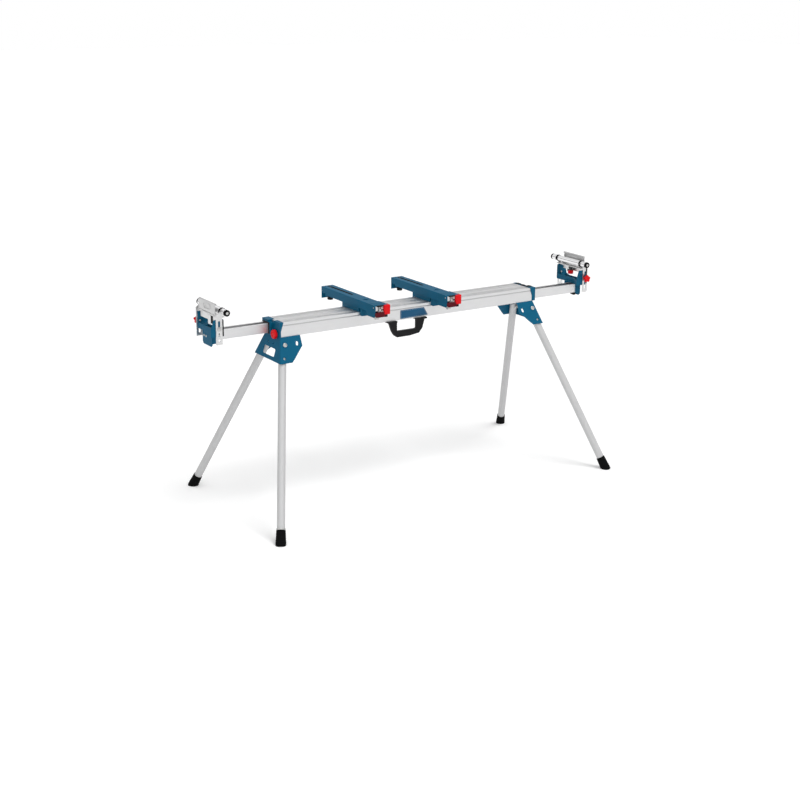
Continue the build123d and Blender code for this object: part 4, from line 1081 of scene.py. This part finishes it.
@dataclass
class SupportDress(SideDress):
    """Fine pieces of one work support: knobs, screws, roller trim, catch and black strips."""

    arm_end: float = 904.5
    clamp_z: float = 796.0
    face_y: float = 84.5
    roller: tuple[float, float] = (886.0, 862.0)
    knob_x: float = 893.0

    def build(self) -> None:
        """Makes the support's pieces."""
        self._height_knob()
        self._stop_knob()
        self._fasteners()
        self._roller_trim()
        self._strips()
        self._stop_dish()

    def _height_knob(self) -> None:
        """Five-lobed star, one lobe up: radius = 12.6 + 4.4·(raised cosine of five times the angle)."""
        seat = 87.45
        axis = Axis((self.arm_end, 0.0, self.clamp_z), (0, -1, 0), (0, 0, 1))

        def star(radius: Array, angle: Array, height: Array) -> Array:
            """Lobes fade out towards the hub."""
            lobe = (0.5 + 0.5 * np.cos(angle * 5)) ** 0.9
            full = (12.6 + 4.4 * lobe) / 15.0
            return np.where(radius > 8.0, full, 1.0)

        knob = turned(axis, raised([
            (0.0, 0.0), (5.7, 0.0), (6.0, 0.4), (6.0, 7.0), (6.3, 8.0), (11.5, 8.0), (13.8, 8.4), (14.8, 9.6),
            (15.0, 11.5), (15.0, 16.0), (14.7, 18.0), (13.6, 19.4), (11.5, 20.0), (8.4, 20.0), (6.6, 19.9),
            (6.0, 19.3), (5.7, 18.4), (0.0, 18.2),
        ], seat), FINE_SEGMENTS, star)
        self._add("height_knob_grip", knob, "height_knob", "red_plastic", RED_PLASTIC, "height_knob")
        start = (self.arm_end, -77.0, self.clamp_z)
        screw = threaded(Axis(start, (0, -1, 0), Z), 4.0, 10.9, *M8_THREAD)
        self._add("height_knob_screw", screw, "height_knob", "steel", STEEL)

    def _stop_knob(self) -> None:
        """Six-lobed knob, its nut under the strap and the screw through both."""
        axis = Axis((self.knob_x, 0.0, 0.0), Z, X)

        def star(radius: Array, angle: Array, height: Array) -> Array:
            """Lobes on the outer wall only."""
            return np.where(radius > 6.0, 0.88 + 0.12 * (0.5 + 0.5 * np.cos(angle * 6)), 1.0)

        knob = turned(axis, [
            (0.0, 802.0), (8.5, 802.0), (11.2, 802.5), (12.4, 803.8), (12.8, 806.0), (12.8, 813.5), (12.4, 816.0),
            (11.2, 817.5), (8.6, 818.0), (5.0, 818.0), (0.0, 818.0),
        ], MEDIUM_SEGMENTS, star)
        self._add("stop_knob_grip", knob, "stop_knob", "red_plastic", RED_PLASTIC, "stop_knob")
        nut = hexagon(axis, 17.0, 829.4, 8.9) + turned(axis, [
            (0.0, 819.4), (7.6, 819.4), (8.0, 819.8), (8.0, 826.8), (10.0, 827.2), (10.3, 827.5), (10.3, 829.1),
            (10.0, 829.4), (0.0, 829.4)])
        self._add("stop_knob_nut", nut, "stop_knob", "steel", DARK_STEEL)
        screw = threaded(Axis((self.knob_x, 0.0, 818.0), Z, X), 3.0, 24.0, 1.0, 0.5)
        self._add("stop_knob_screw", screw, "stop_knob", "steel", STEEL)

    def _fasteners(self) -> None:
        """Guide bolt with its washer, two cross-head screws and the catch under the arm."""
        start = self.face_y + 3.1
        axis = Axis((self.arm_end, 0.0, self.clamp_z), Y, Z)
        shank = [(0.0, 77.0), (3.6, 77.0), (3.95, 77.4)]
        washer = [(3.95, 0.0), (8.6, 0.0), (8.8, 0.3), (8.7, 1.3), (6.0, 1.5), (0.0, 1.5)]
        metal = turned(axis, shank + raised(washer, start)) + hexagon(axis, 12.9, start + 1.3, 3.7, 3.4)
        for sign in (-1, 1):
            screw = Axis((self.arm_end + 3.15, sign * 9.0 - 29.25, 746.5), X, (0, 1, 0.4))
            metal = metal + cross_head(screw, 4.5, 3.0)
        self._add("support_screws", metal, "arm", "steel", STEEL, "support_fasteners")
        outline = rounded_outline([
            (874.0, 715.5), (882.0, 715.5), (888.0, 721.5), (888.0, 727.35), (868.0, 727.35), (868.0, 721.5),
        ], 1.0, 4)
        catch = slab(Sheet((0.0, -50.75, 0.0), X, Z), outline, [
            (0.6, -20.0), (0.15, -19.85), (0.0, -19.4), (0.0, -0.6), (0.15, -0.15), (0.6, 0.0),
        ])
        self._add("support_catch", catch, "arm", "black_plastic", BLACK_PLASTIC)

    def _roller_trim(self) -> None:
        """Rubber rings with three ribs, end caps, and the axle's bright ends in them."""
        x, z = self.roller
        rings, ends = [], []
        for sign in (-1, 1):
            axis = Axis((x, 0.0, z), (0, sign, 0), Z)
            section = [(12.5, 73.5)]
            for middle in (75.1, 78.5, 81.9):
                section += [(13.4, middle - 1.55), (13.9, middle - 1.1), (14.0, middle), (13.9, middle + 1.1),
                            (13.4, middle + 1.55)]
            section.append((12.5, 83.5))
            cap = turned(axis, [
                (0.0, 112.0), (12.3, 112.0), (12.5, 112.3), (12.5, 120.2), (12.2, 121.2), (11.3, 121.9),
                (10.3, 122.0), (9.6, 121.6), (9.0, 121.5), (7.4, 121.6), (6.8, 121.9), (6.4, 122.0), (6.0, 121.7),
                (5.9, 120.6), (0.0, 120.5),
            ])
            rings += [ring(axis, section), cap]
            ends.append(turned(axis, [
                (0.0, 119.6), (5.7, 119.6), (5.8, 121.2), (5.4, 121.7), (1.4, 121.75), (1.0, 121.2), (0.0, 121.1),
            ]))
        self._add("roller_rings", joined(rings), "roller", "rubber", RUBBER, "roller_trim")
        self._add("roller_axle_ends", joined(ends), "roller", "steel", STEEL)

    def _strips(self) -> None:
        """Black strips at the carrier's edge and at the bracket's edge, the carrier's flap with its black pad, and
        a guide plate with its dark mark.
        """
        black, zinc = ("black_plastic", BLACK_PLASTIC), ("zinc_sheet", ZINC)
        for name, body, look, low, high, soft in (
            ("carrier_strip", "carrier", black, (909.8, -89.8, 772.0), (913.4, -87.32, 843.0), 0.7),
            ("bracket_strip", "arm", black, (885.4, 84.4, 767.0), (890.2, 87.9, 829.0), 0.9),
            ("carrier_flap", "carrier", zinc, (906.6, -1.4, 800.8), (908.2, 22.3, 839.0), 0.6),
            ("carrier_pad", "carrier", black, (904.6, 22.6, 806.0), (908.0, 38.0, 838.4), 0.6),
            ("guide_plate", "arm", zinc, (893.5, 87.45, 768.0), (915.5, 87.95, 803.0), 0.2),
            ("guide_plate_mark", "arm", black, (903.6, 87.6, 772.0), (907.4, 88.1, 780.5), 0.2),
        ):
            self._add(name, box_soft(low, high, soft), body, *look)

    def _stop_dish(self) -> None:
        """Pressed finger recess that closes the stop plate's window: the outline stepped in and down."""
        outline = rounded_outline([(-26.9, -9.9), (26.9, -9.9), (26.9, 9.9), (-26.9, 9.9)], 9.85, 12)
        dish = slab(Sheet((910.0, 0.0, 870.0), Y, Z), outline, [
            (3.4, -1.2), (2.6, -1.1), (1.6, -0.3), (0.0, -0.1), (0.0, 1.9), (0.9, 2.0), (2.0, 1.2), (3.0, 0.1),
            (3.6, 0.0),
        ])
        self._add("stop_plate_recess", dish, "stop", "zinc_sheet", STOP_SHEET)


@dataclass
class MountDress(SideDress):
    """Fine pieces of one saw mount, drawn about its middle: knob, lever, hook, the pad on its top and the black
    lining of its slot, which paints the slot's shade.
    """

    saw_y: float = 212.0
    pin_yz: tuple[float, float] = (-177.0, 820.0)

    def _placed(self, surface: Surface) -> Surface:
        """The surface at this mount's place along the beam."""
        return surface.shifted(MOUNT_PLACES[self.side], 0.0, 0.0)

    def build(self) -> None:
        """Makes the mount's pieces."""
        self._saw_knob()
        self._top()
        self._lever()
        self._hook()

    def _saw_knob(self) -> None:
        """Knob with eight flutes under the rail and its threaded stud."""
        axis = Axis((0.0, self.saw_y, 0.0), Z, X)

        def grip(radius: Array, angle: Array, height: Array) -> Array:
            """Flutes on the outer wall only."""
            dip = np.clip(np.cos(angle * 8), 0.0, 1.0) ** 2
            return 1.0 - 0.10 * dip * np.clip((radius - 8.0) / 2.5, 0.0, 1.0)

        knob = turned(axis, [
            (0.0, 773.9), (8.0, 773.9), (10.6, 774.2), (11.7, 775.3), (12.0, 777.0), (12.0, 784.0), (11.6, 785.8),
            (10.4, 786.6), (7.6, 786.8), (7.0, 787.3), (7.0, 796.4), (6.6, 796.8), (0.0, 796.8),
        ], MEDIUM_SEGMENTS, grip)
        self._add("saw_knob_grip", knob, "saw_knob", "black_plastic", BLACK_PLASTIC, "saw_bolt_knob")
        stud = threaded(Axis((0.0, self.saw_y, 796.0), Z, X), 4.0, 33.9, *M8_THREAD)
        self._add("saw_knob_stud", stud, "saw_knob", "steel", DARK_STEEL)

    def _lever(self) -> None:
        """Red grip with its hub, ribbed bar in a darkened red that paints its shade, with a steel roller, thin top
        bar, pin and cam.
        """
        front, back = -200.0, -189.0
        grip = box_soft((7.4, front, 792.0), (35.6, back, 831.0), 2.6)
        hub = turned(Axis((31.2, *self.pin_yz), X, Y), [
            (0.0, 0.0), (10.4, 0.0), (11.0, 0.6), (11.0, 3.8), (10.4, 4.4), (6.4, 4.4), (6.0, 4.1), (5.6, 3.6),
            (0.0, 3.6),
        ])
        side = box_soft((31.2, -191.0, 809.0), (35.6, -177.0, 831.0), 1.2)
        self._add("lever_grip", grip + hub + side, "lever", "red_plastic", RED_PLASTIC, "mount_lever")

        across = np.linspace(-12.0, 29.6, 133)
        ribs = 10.1 + 0.9 * np.cos(TAU * (across + 12.0) / 5.2) ** 2
        sheet = Sheet((0.0, back, 784.0), (0, 0, 1), (-1, 0, 0))
        bar = ridged(sheet, across, 0.0, ribs, 18.0)
        # The bar's darkened red is painted shade.
        self._add("lever_bar", bar, "lever", "red_plastic", RED_PAINTED_SHADE)
        top = box_soft((-23.4, -197.5, 826.0), (6.0, back, 830.8), 0.9)
        feet = box_soft((11.0, -200.0, 782.4), (22.5, -189.5, 792.6), 1.6)
        self._add("lever_frame", top + feet, "lever", "black_plastic", BLACK_PLASTIC)

        pin = turned(Axis((-30.5, *self.pin_yz), X, Y), [
            (0.0, 0.0), (2.6, 0.0), (3.0, 0.4), (3.0, 61.6), (0.0, 61.6)])
        cam = turned(Axis((-6.0, -178.5, 820.0), X, Y), [
            (0.0, 0.0), (3.7, 0.0), (4.0, 0.3), (4.0, 11.7), (3.7, 12.0), (0.0, 12.0)])
        roller = turned(Axis((-17.5, -193.5, 780.6), (-1, 0, 0), (0, 1, 0)), [
            (0.0, 0.0), (5.6, 0.0), (6.2, 0.6), (6.2, 14.0), (5.4, 14.8), (2.2, 14.9), (1.8, 14.3), (0.0, 14.2)])
        self._add("lever_pin", pin + cam + roller, "lever", "steel", STEEL)

    def _hook(self) -> None:
        """Pale hook of the pull rod, its slot open to the right, and the pale stop block beside it."""
        front, back = -187.6, -171.9
        hook = joined(box_soft(low, high, 0.9) for low, high in (
            ((-8.2, front, 796.6), (-0.5, back, 823.0)),
            ((-7.8, front, 812.8), (13.2, back, 822.9)),
            ((-7.8, front, 796.7), (13.2, back, 806.2)),
        ))
        self._add("pull_hook", hook, "jaw", "steel", PALE_STEEL)
        block = box_soft((-26.4, -187.6, 807.0), (-15.5, -172.0, 825.0), 1.0)
        self._add("stop_block", block, "mount", "steel", PALE_STEEL)

    def _top(self) -> None:
        """Plain raised pad on the housing, and the black lining of the rail's slot, which paints the shade in the
        slot and along its edges.
        """
        outline = rounded_outline([(-22.0, -168.0), (22.0, -168.0), (22.0, -130.0), (-22.0, -130.0)], 6.0)
        pad = slab(Sheet((0.0, 0.0, 831.0), X, Y), outline, [(0.0, -0.3), (0.0, 0.35), (0.2, 0.6), (0.6, 0.7)])
        self._add("housing_pad", pad, "mount", "blue_casting", BLUE_CAST)
        # Black lining in and round the slot: painted shade.
        outline = rounded_outline([(-97.0, -4.5), (97.0, -4.5), (97.0, 4.5), (-97.0, 4.5)], 4.45, 10)
        liners = rim(Sheet((0.0, 129.0, 830.0), (0, 1, 0), (-1, 0, 0)), outline, [
            (0.35, -2.95), (0.35, 0.2), (-1.5, 0.2), (-1.6, 0.1), (-1.6, -0.02), (-0.05, -0.05), (-0.05, -2.95),
        ])
        self._add("slot_shade_liners", liners, "mount", "black_plastic", BLACK_PLASTIC)


# Studio


def placed_at(right: Array, up: Array, back: Array, place: Sequence[float]) -> Matrix:
    """Matrix with three directions as its axes, at a place."""
    return Matrix([[right[i], up[i], back[i], place[i]] for i in range(3)] + [[0.0, 0.0, 0.0, 1.0]])


@dataclass
class Studio:
    """Camera of the photograph, pale floor and soft light."""

    focal_px: float = 1420.84
    yaw: float = 34.28
    pitch: float = 17.05
    roll: float = 0.80
    centre_px: tuple[float, float] = (421.54, 400.57)
    eye: Triple = (-3.2117, -4.8405, 2.1275)
    sensor: float = 36.0
    sky: float = 0.48
    floor_size: float = 30.0
    floor_lift: float = 0.18
    mirrored_band: Profile = ((0.0, 0.75), (0.02, 0.16), (0.13, 0.16), (0.24, 1.0), (0.55, 1.0), (0.85, 0.45))

    def camera(self) -> None:
        """Sets the camera from its fitted turn, place and principal point."""
        yaw, pitch, roll = (math.radians(angle) for angle in (self.yaw, self.pitch, self.roll))
        ahead = np.array([math.sin(yaw) * math.cos(pitch), math.cos(yaw) * math.cos(pitch), -math.sin(pitch)])
        level = np.array([math.cos(yaw), -math.sin(yaw), 0.0])
        upright = np.cross(level, ahead)
        right = level * math.cos(roll) + upright * math.sin(roll)
        up = -level * math.sin(roll) + upright * math.cos(roll)
        data = bpy.data.cameras.new("photo_camera")
        data.sensor_width = self.sensor
        data.lens = self.focal_px / IMAGE_SIZE * self.sensor
        half = IMAGE_SIZE / 2
        data.shift_x = (half - self.centre_px[0]) / IMAGE_SIZE
        data.shift_y = (self.centre_px[1] - half) / IMAGE_SIZE
        data.clip_end = 100.0
        eye = bpy.data.objects.new("photo_camera", data)
        eye.matrix_world = placed_at(right, up, -ahead, self.eye)
        bpy.context.scene.collection.objects.link(eye)
        bpy.context.scene.camera = eye

    def _background_share(self, tree: NodeTree, glossy: bool) -> NodeSocket:
        """Share of the white background that a ray sees.

        Args:
            tree: Node tree of the world or the floor.
            glossy: Whether mirrored rays see it too.

        Returns:
            1 for the rays that should see the background, else 0.
        """
        rays = add_node(tree, "LightPath")
        share = rays.outputs["Is Camera Ray"]
        for kind in ("Transmission", "Glossy") if glossy else ("Transmission",):
            larger = add_node(tree, "Math")
            larger.operation = "MAXIMUM"
            tree.links.new(share, larger.inputs[0])
            tree.links.new(rays.outputs[f"Is {kind} Ray"], larger.inputs[1])
            share = larger.outputs[0]
        return share

    def _either(self, tree: NodeTree, share: NodeSocket, first: Node, second: Node) -> Node:
        """Shader that goes from one to another.

        Args:
            tree: Node tree of the world.
            share: 0 for the first, 1 for the second.
            first: A shader node.
            second: A shader node.

        Returns:
            The node that mixes them.
        """
        mix = add_node(tree, "MixShader")
        for socket, source in zip(mix.inputs, (share, first.outputs[0], second.outputs[0])):
            tree.links.new(source, socket)
        return mix

    def world(self) -> None:
        """White background, soft sky, and for mirrors a dark band over the horizon under a bright one."""
        world = bpy.data.worlds.new("studio")
        world.use_nodes = True
        tree = world.node_tree
        tree.nodes.clear()
        sky = add_node(tree, "Background", Color=WHITE, Strength=self.sky)
        white = add_node(tree, "Background", Color=WHITE, Strength=1.0)
        way = add_node(tree, "TexCoord")
        parts = add_node(tree, "SeparateXYZ")
        tree.links.new(way.outputs["Generated"], parts.inputs[0])
        band = add_node(tree, "ValToRGB")
        stops = band.color_ramp.elements
        stops[0].position, stops[1].position = self.mirrored_band[0][0], self.mirrored_band[-1][0]
        for place, _ in self.mirrored_band[1:-1]:
            stops.new(place)
        for stop, (_, grey) in zip(stops, self.mirrored_band):
            stop.color = (grey, grey, grey, 1.0)
        tree.links.new(parts.outputs["Z"], band.inputs[0])
        mirrored = add_node(tree, "Background")
        tree.links.new(band.outputs["Color"], mirrored.inputs["Color"])
        rays = add_node(tree, "LightPath")
        seen = self._either(tree, rays.outputs["Is Glossy Ray"], sky, mirrored)
        mix = self._either(tree, self._background_share(tree, False), seen, white)
        output = add_node(tree, "OutputWorld")
        tree.links.new(mix.outputs[0], output.inputs["Surface"])
        bpy.context.scene.world = world

    def floor(self) -> None:
        """Pale floor that keeps the stand's soft shadow."""
        size = self.floor_size
        corners = [(-size, -size, 0), (size, -size, 0), (size, size, 0), (-size, size, 0)]
        mesh = bpy.data.meshes.new("studio_floor")
        mesh.from_pydata(corners, [], [(0, 1, 2, 3)])
        floor = bpy.data.objects.new("studio_floor", mesh)
        bpy.context.scene.collection.objects.link(floor)
        material = bpy.data.materials.new("floor_white")
        material.use_nodes = True
        tree = material.node_tree
        shader = tree.nodes["Principled BSDF"]
        shader.inputs["Base Color"].default_value = (0.93, 0.93, 0.93, 1.0)
        shader.inputs["Roughness"].default_value = 0.9
        shader.inputs["Specular IOR Level"].default_value = 0.1
        shader.inputs["Emission Color"].default_value = WHITE
        lift = add_node(tree, "Math")
        lift.operation = "MULTIPLY"
        lift.inputs[1].default_value = self.floor_lift
        tree.links.new(self._background_share(tree, True), lift.inputs[0])
        tree.links.new(lift.outputs[0], shader.inputs["Emission Strength"])
        mesh.materials.append(material)

    def _lamp(self, name: str, place: Sequence[float], spread: float, strength: float) -> None:
        """Soft lamp so far off that its light falls evenly, from the direction of a place to the origin.

        Args:
            name: The lamp's name.
            place: Where the light comes from.
            spread: Angle in degrees that it fills, which softens its shadows.
            strength: Light on a surface that faces it.
        """
        data = bpy.data.lights.new(name, "SUN")
        data.angle = math.radians(spread)
        data.energy = strength
        lamp = bpy.data.objects.new(name, data)
        back = unit(place)
        side = unit(np.cross((0.0, 0.0, 1.0), back))
        up = np.cross(back, side)
        lamp.matrix_world = placed_at(side, up, back, place)
        bpy.context.scene.collection.objects.link(lamp)

    def lamps(self) -> None:
        """Key light high in front, and a weaker low one from the left."""
        self._lamp("key", (0.9, -1.9, 4.2), 30.0, 1.55)
        self._lamp("fill", (-3.0, -2.8, 1.6), 50.0, 0.50)

    def build(self) -> None:
        """Sets the whole studio."""
        self.camera()
        self.world()
        self.floor()
        self.lamps()
        bpy.context.scene.view_settings.view_transform = "Standard"
        log.info("studio set")


def main() -> None:
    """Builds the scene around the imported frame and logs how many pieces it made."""
    logging.basicConfig(level=logging.INFO, format="%(message)s")
    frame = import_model()
    Studio().build()
    shop = Workshop(Palette())
    shop.palette.dress_nodes(frame["nodes"])
    legs = [LegPlace(side, end) for side in SIDES for end in ENDS]
    BeamDress(shop).build()
    BracketDress(shop, legs).build()
    for leg in legs:
        LegDress(shop, leg, leg.name == "front_left").build()
    for side in SIDES:
        ArmDress(shop, side).build()
        SupportDress(shop, side).build()
    for side in SIDES:
        MountDress(shop, side).build()
    log.info("%d pieces made", shop.made)


if __name__ == "__main__":
    main()
